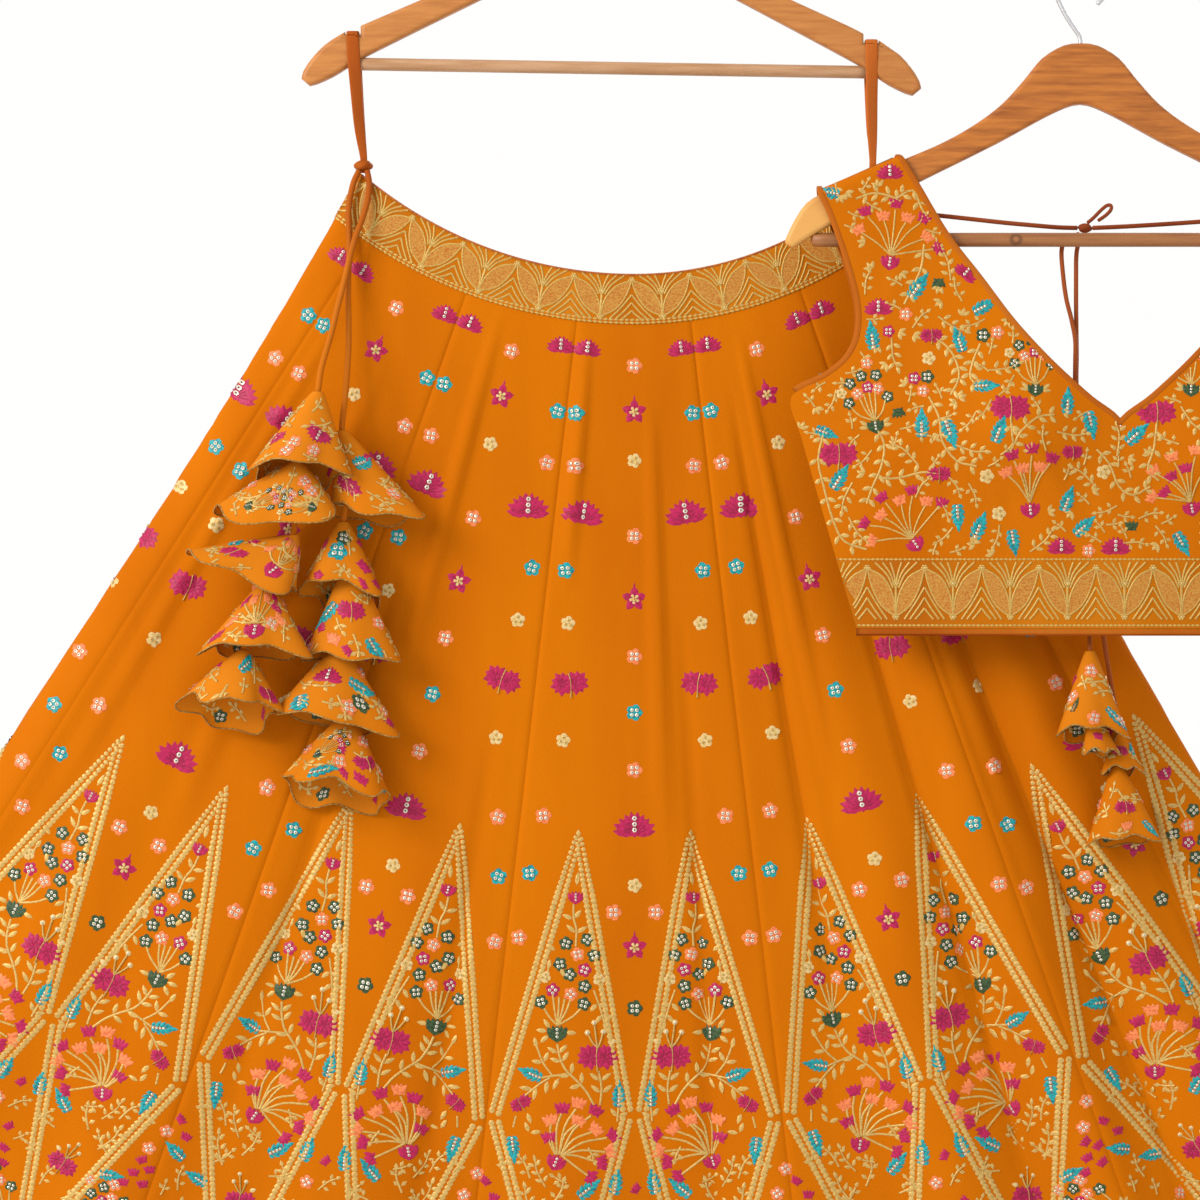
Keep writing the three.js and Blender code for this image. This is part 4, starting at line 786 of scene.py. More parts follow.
def add_choli_panel(name, side, first, last, halves, material):
    """One panel of the blouse; its halves share their middle column below the V."""
    columns = 56
    rows = np.linspace(first, last, 14)
    if first < V_ROW:
        rows = np.concatenate([np.linspace(first, V_ROW, 78)[:-1], np.linspace(V_ROW, last, 32)])
    across = crowded(columns)
    left = choli_point(side, across[None, :], rows[:, None])
    faces = grid_faces(len(rows), columns)
    if halves == ("right",):
        left = mirrored(left)[:, ::-1]
    points = left.reshape(-1, 3)
    if len(halves) == 2:
        count = len(points)
        right_faces = faces[:, ::-1] + count
        points = np.vstack([points, mirrored(points)])
        middle = np.arange(len(rows)) * columns + columns - 1
        for number, row in zip(middle, rows):
            if row >= V_ROW - 1e-6:
                right_faces[right_faces == number + count] = number
        faces = np.vstack([faces, right_faces])
    piece = make_mesh(f"blouse_{name}", points, faces, material)
    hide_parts(f"choli_{name}")
    return piece


def add_panels(part, first, last, material):
    """The front panel and the two back panels of the blouse's body, or of its band."""
    front = add_choli_panel(f"{part}front", -1, first, last, ("left", "right"), material)
    backs = [add_choli_panel(f"{part}back_{half}", 1, first, last, (half,), material) for half in ("left", "right")]
    return {"front": [front], "back": backs}


def new_tree(pieces):
    """A tree for rays, in millimetres, over the faces of some pieces."""
    points = []
    faces = []
    for piece in pieces:
        first = len(points)
        points.extend(Vector(vertex.co) / MM for vertex in piece.data.vertices)
        faces.extend([first + index for index in polygon.vertices] for polygon in piece.data.polygons)
    return BVHTree.FromPolygons(points, faces)


# Embroidery: raised thread work drawn in a flat plane, x across and y down, with heights above it

class Stitches:
    """Thread work by colour: points (x, y, height) and triangles."""

    def __init__(self):
        self.points = {}
        self.faces = {}
        self.counts = {}

    def add(self, colour, points, faces):
        first = self.counts.get(colour, 0)
        self.points.setdefault(colour, []).append(np.asarray(points, float))
        self.faces.setdefault(colour, []).append(np.asarray(faces, int) + first)
        self.counts[colour] = first + len(points)

    def merged(self, colour):
        return np.vstack(self.points[colour]), np.vstack(self.faces[colour])

    def place(self, other, x, y, angle=0.0, size=1.0, mirror=False):
        """Copies another drawing here, turned clockwise by angle degrees."""
        turned = math.radians(angle)
        for colour in other.counts:
            points, faces = other.merged(colour)
            across = points[:, 0] * size * (-1 if mirror else 1)
            down = points[:, 1] * size
            moved = np.stack([
                x + across * math.cos(turned) - down * math.sin(turned),
                y + across * math.sin(turned) + down * math.cos(turned), points[:, 2]], axis=-1)
            self.add(colour, moved, faces[:, ::-1] if mirror else faces)

    def mirror_of(self, other):
        self.place(other, 0, 0, mirror=True)


PETAL_FACES = [(0, 1, 2), (0, 2, 3), (1, 4, 5), (1, 5, 2), (2, 5, 6), (2, 6, 3), (4, 7, 5), (5, 7, 6)]
SMALL_PETAL_FACES = [(0, 1, 2), (0, 2, 3), (1, 4, 2), (2, 4, 3)]
SMALL_PETAL = 6.2
BASE_HEIGHT = 0.1
LEAF_LEAN = 52


def petal(work, colour, x, y, angle, length, width, rise=0.7):
    """An almond of satin stitch that starts at x, y and points along angle in degrees, 0 being up."""
    turned = math.radians(angle)
    ahead = np.array([math.sin(turned), -math.cos(turned)])
    beside = np.array([math.cos(turned), math.sin(turned)])
    is_small = length < SMALL_PETAL
    rows = [(0.5, 0.5)] if is_small else [(0.33, 0.5), (0.70, 0.42)]
    points = [(x, y, BASE_HEIGHT)]
    for part, half in rows:
        for sideways, height in ((-half, BASE_HEIGHT), (0, rise), (half, BASE_HEIGHT)):
            place = np.array([x, y]) + ahead * length * part + beside * width * sideways
            points.append((place[0], place[1], height))
    tip = np.array([x, y]) + ahead * length
    points.append((tip[0], tip[1], BASE_HEIGHT))
    work.add(colour, points, SMALL_PETAL_FACES if is_small else PETAL_FACES)


def disc(work, colour, x, y, radius, rise=0.7, sides=7):
    turns = np.linspace(0, 2 * np.pi, sides, endpoint=False)
    rim = np.stack([x + radius * np.cos(turns), y + radius * np.sin(turns),
                    np.full(sides, BASE_HEIGHT)], axis=-1)
    points = np.vstack([rim, [(x, y, rise)]])
    faces = [(i, (i + 1) % sides, sides) for i in range(sides)]
    work.add(colour, points, faces)


# Its default colour, near white, is a painted glint
def sequin(work, x, y, radius=1.35, height=0.95, colour="sequin", sides=6):
    """A small sloping ring that stands a little proud, open in its middle."""
    turns = np.linspace(0, 2 * np.pi, sides, endpoint=False) + x
    rings = []
    for size, up in ((1.0, 0.0), (0.34, 0.34)):
        rings.append(np.stack([
            x + radius * size * np.cos(turns), y + radius * size * np.sin(turns),
            np.full(sides, height + up) + 0.12 * np.cos(turns)], axis=-1))
    faces = []
    for i in range(sides):
        following = (i + 1) % sides
        faces.append((i, following, following + sides))
        faces.append((i, following + sides, i + sides))
    work.add(colour, np.vstack(rings), faces)


def stroke(work, colour, points, width=1.2, rise=0.6):
    """A line of stem stitch along a few points."""
    line = np.asarray(points, float)
    if len(line) > 2:
        line = smooth_route(line, 3)
    along = unit(np.gradient(line, axis=0))
    beside = np.stack([-along[:, 1], along[:, 0]], axis=-1) * width / 2
    count = len(line)
    low = np.full((count, 1), BASE_HEIGHT)
    high = np.full((count, 1), rise)
    left = np.hstack([line - beside, low])
    middle = np.hstack([line, high])
    right = np.hstack([line + beside, low])
    faces = []
    for i in range(count - 1):
        for row in (0, count):
            a, b, c, d = row + i, row + i + 1, row + count + i + 1, row + count + i
            faces.append((a, b, c))
            faces.append((a, c, d))
    work.add(colour, np.vstack([left, middle, right]), faces)


# Loops of a temple line, as parts of the space between them and of their radius; the hole is a dark disc of painted
# shade in each loop's middle
CHAIN = {"stagger": 0.12, "apart": 1.12, "hole": 0.27, "narrow_loops": 12}


def chain(work, start, end, pitch=3.7, size=2.35, narrow=1.0):
    """A temple line: round loops of chain stitch in two rows."""
    start = np.asarray(start, float)
    end = np.asarray(end, float)
    length = float(np.linalg.norm(end - start))
    ahead = (end - start) / length
    beside = np.array([-ahead[1], ahead[0]])
    steps = max(int(length / pitch), 1)
    for step in range(steps):
        grown = size * (narrow + (1 - narrow) * min(step / CHAIN["narrow_loops"], 1))
        for side in (-1, 1):
            along = ahead * length * (step + 0.5 + CHAIN["stagger"] * side) / steps
            place = start + along + beside * side * grown * CHAIN["apart"]
            disc(work, "gold", *place, grown, 1.15, 6)
            # A dark disc over the loop's middle: painted shade in its opening
            disc(work, "gold_deep", *place, grown * CHAIN["hole"], 1.35, 3)


def leaf_pair(work, x, y, angle, length, width=3.2):
    for side in (-1, 1):
        lean = angle + side * LEAF_LEAN
        turned = math.radians(lean)
        ahead = (math.sin(turned), -math.cos(turned))
        vein = length * 0.6
        petal(work, "gold", x + 0.8 * ahead[0], y + 0.8 * ahead[1], lean, length, width, 0.8)
        disc(work, "gold_deep", x + vein * ahead[0], y + vein * ahead[1], 0.5, 1.0, 4)


def make_floweret(colour, radius=2.95, sequin_colour="sequin", sequins=4):
    work = Stitches()
    for i in range(5):
        turned = 2 * math.pi * i / 5 + 0.3
        reach = radius * 1.15
        disc(work, colour, reach * math.sin(turned), reach * math.cos(turned), radius * 0.95, 0.75, 6)
    disc(work, colour, 0, 0, radius, 0.8, 6)
    for i in range(sequins):
        turned = 2 * math.pi * i / sequins + 0.8
        x = radius * 0.82 * math.cos(turned)
        y = radius * 0.82 * math.sin(turned)
        sequin(work, x, y, radius * 0.47, 0.95, sequin_colour)
    return work


def make_star():
    work = Stitches()
    for i in range(5):
        petal(work, "magenta", 0, 0, 72 * i, 9.2, 6.0, 0.8)
        petal(work, "magenta_deep", 0, 0, 72 * i, 7.0, 2.6, 1.05)
    petal(work, "magenta", 0, -7, 0, 5.0, 1.5, 0.6)
    for i in range(5):
        turned = 2 * math.pi * i / 5 + 0.6
        disc(work, "cream", 2.3 * math.cos(turned), 2.3 * math.sin(turned), 2.1, 1.25, 6)
    sequin(work, 0, 0, 1.5, 1.3, "gold")
    return work


def make_lotus(width=24.0):
    """A side-on lotus: serrated petals fanned over a rounded base, with a spike of sequins."""
    work = Stitches()
    half = width / 2
    low = half * 0.46
    for angle, length in ((84, 1.0), (66, 1.06), (46, 1.0), (27, 0.98), (9, 1.02)):
        for side in (-1, 1):
            petal(work, "magenta", 0, low, side * angle, half * length, half * 0.42, 0.85)
    for angle in (-76, -56, -36, -18, 18, 36, 56, 76):
        petal(work, "magenta_deep", 0, low, angle, half * 0.66, half * 0.2, 1.0)
    for angle in (-62, -30, 0, 30, 62):
        petal(work, "magenta", 0, low * 0.5, 180 + angle, half * 0.42, half * 0.34, 0.9)
    for step in range(3):
        sequin(work, 0, half * (0.30 - 0.27 * step), half * 0.115, 1.25)
    return work


def make_peony(radius=12.0, stamens=True):
    """A flower of two fringed lobes with a gold vein and three gold stamens on top."""
    work = Stitches()
    for side in (-1, 1):
        middle = (side * radius * 0.37, 0.0)
        for i in range(10):
            angle = i * 36 + 9
            long = radius * (0.66 if i % 2 else 0.60)
            petal(work, "magenta", *middle, angle, long, radius * 0.34, 0.85)
        for i in range(7):
            petal(work, "magenta_deep", *middle, i * 360 / 7, radius * 0.44, radius * 0.18, 1.1)
        for i in range(5):
            petal(work, "magenta", *middle, i * 72 + 30, radius * 0.26, radius * 0.2, 1.25)
    petal(work, "magenta", 0, -radius * 0.1, 180, radius * 0.62, radius * 0.5, 0.95)
    stroke(work, "gold", [(0, -radius * 0.5), (radius * 0.06, 0), (0, radius * 0.75)], 1.0, 1.35)
    if stamens:
        for x, y in ((-4, -17.5), (2.4, -24), (7.2, -17)):
            tip = (x * radius / 15, y * radius / 15)
            stroke(work, "gold", [(0, -radius * 0.4), (tip[0] * 0.5, tip[1] * 0.6), tip], 1.3, 1.35)
            disc(work, "cream", tip[0], tip[1], 2.1, 1.3, 6)
            sequin(work, tip[0], tip[1], 0.9, 1.35)
        petal(work, "cream", -radius * 0.5, -radius * 0.62, -68, 6.4, 4.0, 1.2)
    return work


def make_tulip(colour):
    """A square tulip of toothed petals."""
    work = Stitches()
    for angle, length in ((-36, 8.2), (-12, 7.6), (12, 7.6), (36, 8.2)):
        petal(work, colour, 0, 4.2, angle, length, 3.4, 0.9)
    petal(work, colour, -3.6, 4.4, 40, 7.0, 2.8, 0.75)
    petal(work, colour, 3.6, 4.4, -40, 7.0, 2.8, 0.75)
    return work


def make_serrated_leaf(length=21.0, colour="teal"):
    """A toothed leaf: slanted blocks of satin stitch on both sides of a row of sequins."""
    work = Stitches()
    size = length / 21
    rows = ((0.02, 5.4, 56), (0.16, 7.0, 50), (0.31, 7.2, 44), (0.46, 6.4, 36), (0.59, 5.2, 28))
    for part, reach, angle in rows:
        for side in (-1, 1):
            petal(work, colour, side * 0.2, -length * part, side * angle, reach * size, 3.1 * size, 0.9)
    petal(work, colour, 0, -length * 0.60, 0, length * 0.44, 3.4 * size, 0.95)
    for step in range(4):
        sequin(work, 0, -length * (0.10 + 0.13 * step), 1.05 * size, 1.1)
    return work


def make_sprig(leaves=3, length=24.0, bend=4.0, leaf=7.0):
    """A gold stem with paired leaves and a leaf at its tip, growing up from the middle."""
    work = Stitches()
    stem = [(0, 0), (bend * 0.6, -length * 0.35), (bend, -length * 0.7), (bend * 0.8, -length)]
    stroke(work, "gold", stem, 1.5, 0.8)
    for step in range(leaves):
        part = (step + 0.6) / (leaves + 0.2)
        leaf_pair(work, bend * min(part * 1.3, 1), -length * part, 6, leaf)
    petal(work, "gold", bend * 0.8, -length * 0.97, 0, leaf, 3.2, 0.8)
    return work


def make_cup(colour, size=1.0):
    """A rounded cup of satin stitch, open at the top."""
    work = Stitches()
    for angle in (-30, -15, 0, 15, 30):
        petal(work, colour, 0, 7.5 * size, angle, 13.5 * size, 5.2 * size, 1.0)
    petal(work, colour, -2.6 * size, 5.6 * size, -28, 10.5 * size, 4.6 * size, 1.0)
    petal(work, colour, 2.6 * size, 5.6 * size, 28, 10.5 * size, 4.6 * size, 1.0)
    for step in range(3):
        sequin(work, 0, (3.2 - 2.8 * step) * size, 1.15 * size, 1.35)
    return work


def make_bouquet(spots):
    """Tulips of alternating colours on gold stems that fan from a magenta cup."""
    work = Stitches()
    for number, (angle, reach) in enumerate(spots):
        turned = math.radians(angle)
        tip = (reach * math.sin(turned), -reach * math.cos(turned))
        stem = [(0, -5), (tip[0] * 0.55 * 0.80, tip[1] * 0.60), (tip[0] * 0.88, tip[1] * 0.87)]
        stroke(work, "gold", stem, 1.3, 0.75)
        colour = "magenta" if number % 2 else "peach"
        work.place(TULIPS[colour], tip[0], tip[1], angle * 0.7, 1.16)
    work.place(make_cup("magenta", 0.95), 0, 0)
    return work


def make_green_fan(spots):
    """Small sequinned flowers on gold stems that fan from a dark green cup."""
    work = Stitches()
    for x, y in ((-19, -19), (-10, -25), (-6, -27), (-1.5, -28), (3.5, -28), (11, -20)):
        stroke(work, "gold", [(0, -4), (x * 0.6, y * 0.5), (x, y)], 1.4, 0.7)
    for x, y, colour in spots:
        work.place(FLOWERETS[colour], x, y, x * 3, 0.88)
    work.place(make_cup("green", 0.92), 0, 0)
    for side in (-1, 1):
        petal(work, "gold", side * 6, 0, side * 50, 8.5, 3.4)
        petal(work, "gold", side * 6, 1, side * 86, 8, 3.2)
    return work


FLOWERETS = {
    "peach": make_floweret("peach"), "teal": make_floweret("teal"),
    "cream": make_floweret("cream", 2.6, "gold", 3),
    "green": make_floweret("green"), "magenta": make_floweret("magenta"),
}
TULIPS = {"magenta": make_tulip("magenta"), "peach": make_tulip("peach")}
STAR = make_star()
SMALL_LOTUS = make_lotus(21)
LOTUS = make_lotus(31)
PEONY = make_peony(14.0, stamens=False)
BORDER_PEONY = make_peony(15.0)
TEAL_LEAF = make_serrated_leaf()
SMALL_BOUQUET = make_bouquet([(-70, 24), (-46, 34), (-24, 26), (-4, 36), (18, 27), (38, 35), (62, 25)])
SMALL_GREEN_FAN = make_green_fan([
    (-19, -21, "green"), (-11, -28, "peach"), (-2, -32, "magenta"), (6, -30, "peach"),
    (13, -22, "green"),
    (-16, -37, "green"), (-6, -42, "green"), (6, -41, "green"), (-24, -30, "cream"), (0, -52, "peach"),
])
LEAF_TRIO = Stitches()
for lean in (-48, 0, 48):
    petal(LEAF_TRIO, "gold", 0, 1.5, lean, 7.0, 3.2)
SPRIGS = [make_sprig(3, 24, 4), make_sprig(2, 17, -3, 5.5), make_sprig(4, 32, 6, 6.5),
          make_sprig(1, 10, 1, 5.5)]

# Scattered flowers of one gore: drawing, distance from the fan's centre, and whether they lie on
# the gore's middle line or beside its seams, with how far beside it
MIDDLE_FLOWERS = [
    ("peach", 394, 0), ("star", 427, 0), ("cream", 462, 0), ("peach", 516, 0), ("star", 561, 0),
    ("peach", 602, 0), ("teal", 642, 0), ("peach", 683, 0), ("lotus", 721, 0), ("cream", 765, 0),
    ("star", 809, 0), ("green", 852, 0), ("peach", 784, 15), ("peach", 784, -15),
]
SEAM_FLOWERS = [
    ("small_lotus", 383, 9.6, 14), ("teal", 431, 6.6, 0), ("peach", 469, 10, 0), ("lotus", 501, 20, 16),
    ("teal", 544, 12, 0), ("cream", 582, 18, 0), ("peony", 625, 24, 0), ("cream", 666, 24, 0),
    ("peach", 720, 16, 0), ("teal", 761, 11, 0), ("peach", 807, 8.5, 0),
]
TEMPLE = {"apex_x": 39.8, "apex": 730.0, "inner_foot": 925.0, "outer_foot": 933.0, "line": 5.5}
GREEN_FAN_PLACES = [
    (33.5, 803.3, "green"), (48.6, 806, "green"), (28.7, 814.4, "green"), (52.8, 820.6, "green"),
    (45.9, 828, "green"), (35.5, 836.4, "green"), (36, 848.8, "green"), (66.3, 847.4, "green"),
    (40.4, 813.7, "peach"), (45.2, 841.9, "peach"), (35.5, 824.7, "magenta"), (58, 839, "magenta"),
    (25.2, 831.6, "cream"), (63.8, 829.5, "cream"),
]
BOUQUET_PLACES = [
    (27.2, 923.2, -30), (39.5, 917.8, -14), (51.2, 921.4, 0), (59.8, 929.9, 14), (60.8, 942, 10),
    (39.5, 930.3, -20), (14.5, 941.3, -50), (26.8, 936.6, -44), (22.2, 960.8, -84), (16, 952.7, -70),
    (30.1, 971.6, -112),
]
LOWER = {"meet_x": 52.0, "meet": 1092.0, "gap": 4.2}
HEM_LINES = (1326.0, 1346.0)
# Random scatter: its seed, how often it tries, and where it may lie
GORE_SCATTER = {"seed": 11, "tries": 5000, "large_tries": 120, "near": 948, "far": 1316}
TASSEL_SCATTER = {"seed": 23, "tries": 260}
CHOLI_SCATTER = {"seed": 5, "tries": 5200, "large_tries": 1200}
# How much lower the work lies on the gores that sag, by gore, and the share of it at each distance
# from the fan's centre
WORK_DROOP = {1: 27.0, 2: 5.0, 5: 9.0}
DROOP_SHARE = ((500, 740, 940, 1310), (0, 1, 1, 0))


def on_gore(angle, radius):
    """Flat place on a gore: x from its middle line and y from the fan's centre."""
    turned = math.radians(angle)
    return radius * math.sin(turned), radius * math.cos(turned)


def drawing_named(name):
    drawings = {"star": STAR, "lotus": LOTUS, "small_lotus": SMALL_LOTUS, "peony": PEONY}
    return drawings.get(name) or FLOWERETS[name]


def temple_half():
    """The right half of a gore's temple border and what fills it."""
    work = Stitches()
    apex = (TEMPLE["apex_x"], TEMPLE["apex"])
    seam_x, seam_y = on_gore(GORES["angle"] / 2, TEMPLE["outer_foot"])
    outer = (seam_x - TEMPLE["line"], seam_y)
    inner = (TEMPLE["line"], TEMPLE["inner_foot"])
    for foot in (inner, outer):
        chain(work, apex, foot, narrow=0.66)
    chain(work, (inner[0], inner[1] + LOWER["gap"]), (LOWER["meet_x"] - 3.6, LOWER["meet"]))
    chain(work, (outer[0], outer[1] + LOWER["gap"]), (LOWER["meet_x"] + 3.6, LOWER["meet"]))
    petal(work, "gold", apex[0], apex[1] + 1, 0, 6, 3.6, 1.1)

    petal(work, "gold", 41.2, 765, -8, 10, 3.2)
    work.place(make_cup("magenta", 0.72), 41.7, 773)
    stroke(work, "gold", [(43.2, 778), (43.2, 788), (41.2, 796), (41.7, 808)], 1.5, 0.8)
    leaf_pair(work, 43.2, 789, 14, 8)
    leaf_pair(work, 41.4, 799, -4, 8.6)
    for x, y, colour in GREEN_FAN_PLACES:
        work.place(FLOWERETS[colour], x, y, x * 7, 0.86)
    for x, y in ((38, 852), (45.5, 846), (49.5, 845), (53.5, 844), (58, 842), (64, 852)):
        bend = (54.5 + (x - 54.5) * 0.62, 864 + (y - 864) * 0.5)
        stroke(work, "gold", [(54.5, 864), bend, (x, y)], 1.4, 0.7)
    work.place(make_cup("green", 0.95), 54.8, 869)
    for x, y, angle in ((49, 869, -92), (60, 866, 34), (62, 868, 84), (61, 871, 132), (56.2, 811, 56),
                        (49, 830, 30)):
        petal(work, "gold", x, y, angle, 8, 3.3, 0.8)
    stroke(work, "gold", [(29, 839), (25, 850), (21.5, 862)], 1.4, 0.75)
    leaf_pair(work, 26, 848, 190, 7.5)
    leaf_pair(work, 23, 856, 196, 7)
    petal(work, "gold", 21.5, 861, 190, 7, 3.1)
    stroke(work, "gold", [(62, 834), (61, 822)], 1.3, 0.7)
    petal(work, "gold", 61, 824, -8, 7, 3.0)

    work.place(BORDER_PEONY, 26.3, 886)
    stroke(work, "gold", [(25.5, 896), (23.5, 908), (24.5, 920)], 1.5, 0.8)
    leaf_pair(work, 24.3, 903.5, 0, 9)
    leaf_pair(work, 23.6, 912, 0, 9)
    stroke(work, "gold", [(54.8, 877), (53, 886), (49, 895), (41, 903), (34, 911), (29, 920)], 1.6, 0.8)
    for x, y, angle in ((54, 884, 8), (51.5, 890, 20), (45, 899, 44), (37.5, 906, 52)):
        leaf_pair(work, x, y, angle, 8.4)
    stroke(work, "gold", [(47.5, 898), (57, 899.5), (66, 901)], 1.5, 0.8)
    stroke(work, "gold", [(58.5, 899), (65, 890), (69.6, 878)], 1.4, 0.75)
    leaf_pair(work, 64.5, 890.5, 28, 8)
    petal(work, "gold", 69.4, 880, 12, 8, 3.2)
    stroke(work, "gold", [(60, 901), (68, 906), (78, 914)], 1.4, 0.75)
    for x, y, angle in ((61.5, 903, 170), (69.5, 908, 165), (72.5, 909, 84), (53.5, 901, 152)):
        petal(work, "gold", x, y, angle, 9.5, 3.3, 0.8)
    work.place(TEAL_LEAF, 65.5, 901.5, 68, 0.88)
    work.place(TEAL_LEAF, 11.6, 922, -2, 0.92)
    stroke(work, "gold", [(11.6, 922), (12.4, 932)], 1.4, 0.7)
    leaf_pair(work, 12.2, 929, -14, 7.4)
    work.place(PEONY, 80.7, 919, 30, 0.6)
    petal(work, "gold", 76, 926, 200, 8, 3.3)
    leaf_pair(work, 74.5, 940, -30, 7.6)
    stroke(work, "gold", [(84, 928), (86, 936)], 1.4, 0.7)

    for number, (x, y, angle) in enumerate(BOUQUET_PLACES):
        colour = "magenta" if number % 2 == 0 else "peach"
        base = (55.3 + (x - 55.3) * 0.12, 955)
        stem_end = (x + (55.3 - x) * 0.13, y + (957 - y) * 0.13)
        middle = (base[0] * 0.5 + stem_end[0] * 0.5 + 2, base[1] * 0.45 + stem_end[1] * 0.55 - 2)
        stroke(work, "gold", [base, middle, stem_end], 1.5, 0.75)
        work.place(TULIPS[colour], x, y, angle, 1.16)
    work.place(make_cup("magenta", 0.9), 55.6, 960, -22)
    work.place(TEAL_LEAF, 87, 942, 186, 0.95)
    work.place(TEAL_LEAF, 40, 985, -52, 0.95)
    work.place(TEAL_LEAF, 15, 984, -10, 0.95)
    work.place(SPRIGS[0], 63, 978, 14, 0.8)
    work.place(SPRIGS[1], 74, 972, 34, 0.95)
    work.place(SPRIGS[1], 58, 990, -18, 1.0)
    work.place(SPRIGS[0], 70, 1000, 12, 0.9)
    work.place(BORDER_PEONY, 52, 1022, 8, 0.8)
    work.place(SPRIGS[1], 36, 1000, -60, 0.9)
    work.place(SPRIGS[1], 44, 1044, 20, 0.9)
    work.place(SPRIGS[3], 62, 1046, 40, 1.0)
    work.place(TEAL_LEAF, 78, 1016, 70, 0.85)
    work.place(TULIPS["peach"], 50, 1060, 180, 0.9)
    for drawing, x, y, angle in (
            (SPRIGS[1], 22, 1006, 30), (SPRIGS[3], 33, 950, 200), (SPRIGS[1], 78, 1000, -40),
            (SPRIGS[3], 48, 975, 60), (SPRIGS[3], 90, 968, 20), (SPRIGS[3], 33, 1024, -70)):
        work.place(drawing, x, y, angle, 0.95)
    return work


def gore_work():
    """Everything embroidered on one gore."""
    work = Stitches()
    for name, radius, x in MIDDLE_FLOWERS:
        work.place(drawing_named(name), x, radius)
    for name, radius, beside, lean in SEAM_FLOWERS:
        for side in (-1, 1):
            seam_x, seam_y = on_gore(side * GORES["angle"] / 2, radius)
            work.place(drawing_named(name), seam_x - side * beside, seam_y, side * (6 - lean),
                       mirror=side > 0)
    half = temple_half()
    work.place(half, 0, 0)
    work.mirror_of(half)
    lower = random.Random(GORE_SCATTER["seed"])
    taken = []
    choices = [
        (SMALL_BOUQUET, 22), (SMALL_GREEN_FAN, 21), (BORDER_PEONY, 14), (SPRIGS[0], 11), (TEAL_LEAF, 9),
        (SPRIGS[2], 14), (SPRIGS[1], 8.5), (SPRIGS[3], 5.5), (FLOWERETS["peach"], 5),
        (TULIPS["magenta"], 5)]
    meet = np.array([LOWER["meet_x"], LOWER["meet"]])
    seam_foot = np.array(on_gore(GORES["angle"] / 2, TEMPLE["outer_foot"]))
    lines = [(np.array([0.0, TEMPLE["inner_foot"]]), meet), (seam_foot, meet)]
    for attempt in range(GORE_SCATTER["tries"]):
        angle = lower.uniform(-0.5, 0.5) * GORES["angle"]
        x, y = on_gore(angle, lower.uniform(GORE_SCATTER["near"], GORE_SCATTER["far"]))
        if attempt < GORE_SCATTER["large_tries"]:
            kind = 2 * attempt // GORE_SCATTER["large_tries"]
        else:
            kind = lower.randrange(2, len(choices))
        drawing, room = choices[kind]
        seam_room = (GORES["angle"] / 2 - abs(angle)) * math.pi / 180 * math.hypot(x, y)
        if seam_room < room * 0.75 or math.hypot(x, y) > GORE_SCATTER["far"] - room * 0.6:
            continue
        spot = np.array([abs(x), y])
        is_clear = True
        for start, end in lines:
            along = np.clip(np.dot(spot - start, end - start) / np.dot(end - start, end - start), 0, 1)
            if np.linalg.norm(start + (end - start) * along - spot) < room * 0.72 + 6.0:
                is_clear = False
        depth_here = np.interp(abs(x), [0, LOWER["meet_x"], seam_foot[0]],
                               [TEMPLE["inner_foot"], LOWER["meet"], seam_foot[1]])
        if not is_clear or (y < depth_here and y < 1052):
            continue
        if any(math.hypot(x - a, y - b) < (room + r) * 0.84 for a, b, r in taken):
            continue
        taken.append((x, y, room))
        lean = lower.uniform(-60, 60)
        turned = math.radians(lean)
        back = room * 0.8
        work.place(drawing, x - back * math.sin(turned), y + back * math.cos(turned), lean, 0.86)
    for radius in HEM_LINES:
        points = [on_gore(angle, radius) for angle in np.linspace(-6.35, 6.35, 9)]
        for start, end in zip(points, points[1:]):
            chain(work, start, end, pitch=4.6, size=2.0)
    return work


def add_skirt_work(threads):
    """One object for each colour, on the front and on the back gores."""
    work = gore_work()
    groups = {"front": [1, 2, 3, 4, 5], "back": [6, 7, 8, 9, 10]}
    for group, numbers in groups.items():
        for colour in work.counts:
            flat, faces = work.merged(colour)
            radius = np.hypot(flat[:, 0], flat[:, 1])
            angle = np.degrees(np.arctan2(flat[:, 0], flat[:, 1]))
            points = []
            joined = []
            for place, number in enumerate(numbers):
                turn = gore_start(number) + GORES["angle"] / 2 + angle
                lower = np.interp(radius, *DROOP_SHARE) * WORK_DROOP.get(number, 0.0)
                points.append(skirt_surface(turn, radius + lower, CLOTH_OUT + flat[:, 2]))
                joined.append(faces + place * len(flat))
            piece = make_mesh(f"stitch_{group}_{colour}", np.vstack(points), np.vstack(joined),
                              threads[colour])


# Band pattern: repeats of an apex with two stippled leaves, nested chevrons and rays

def filled_leaf(work, colour, first, second, rise=0.35):
    """A flat stitched fill between two curves with the same ends."""
    one = smooth_route(first, 4)
    two = smooth_route(second, 4)
    count = len(one)
    points = np.vstack([np.column_stack([line, np.full(count, rise)]) for line in (one, two)])
    faces = []
    for i in range(count - 1):
        faces.append((i, i + 1, count + i + 1))
        faces.append((i, count + i + 1, count + i))
    work.add(colour, points, faces)


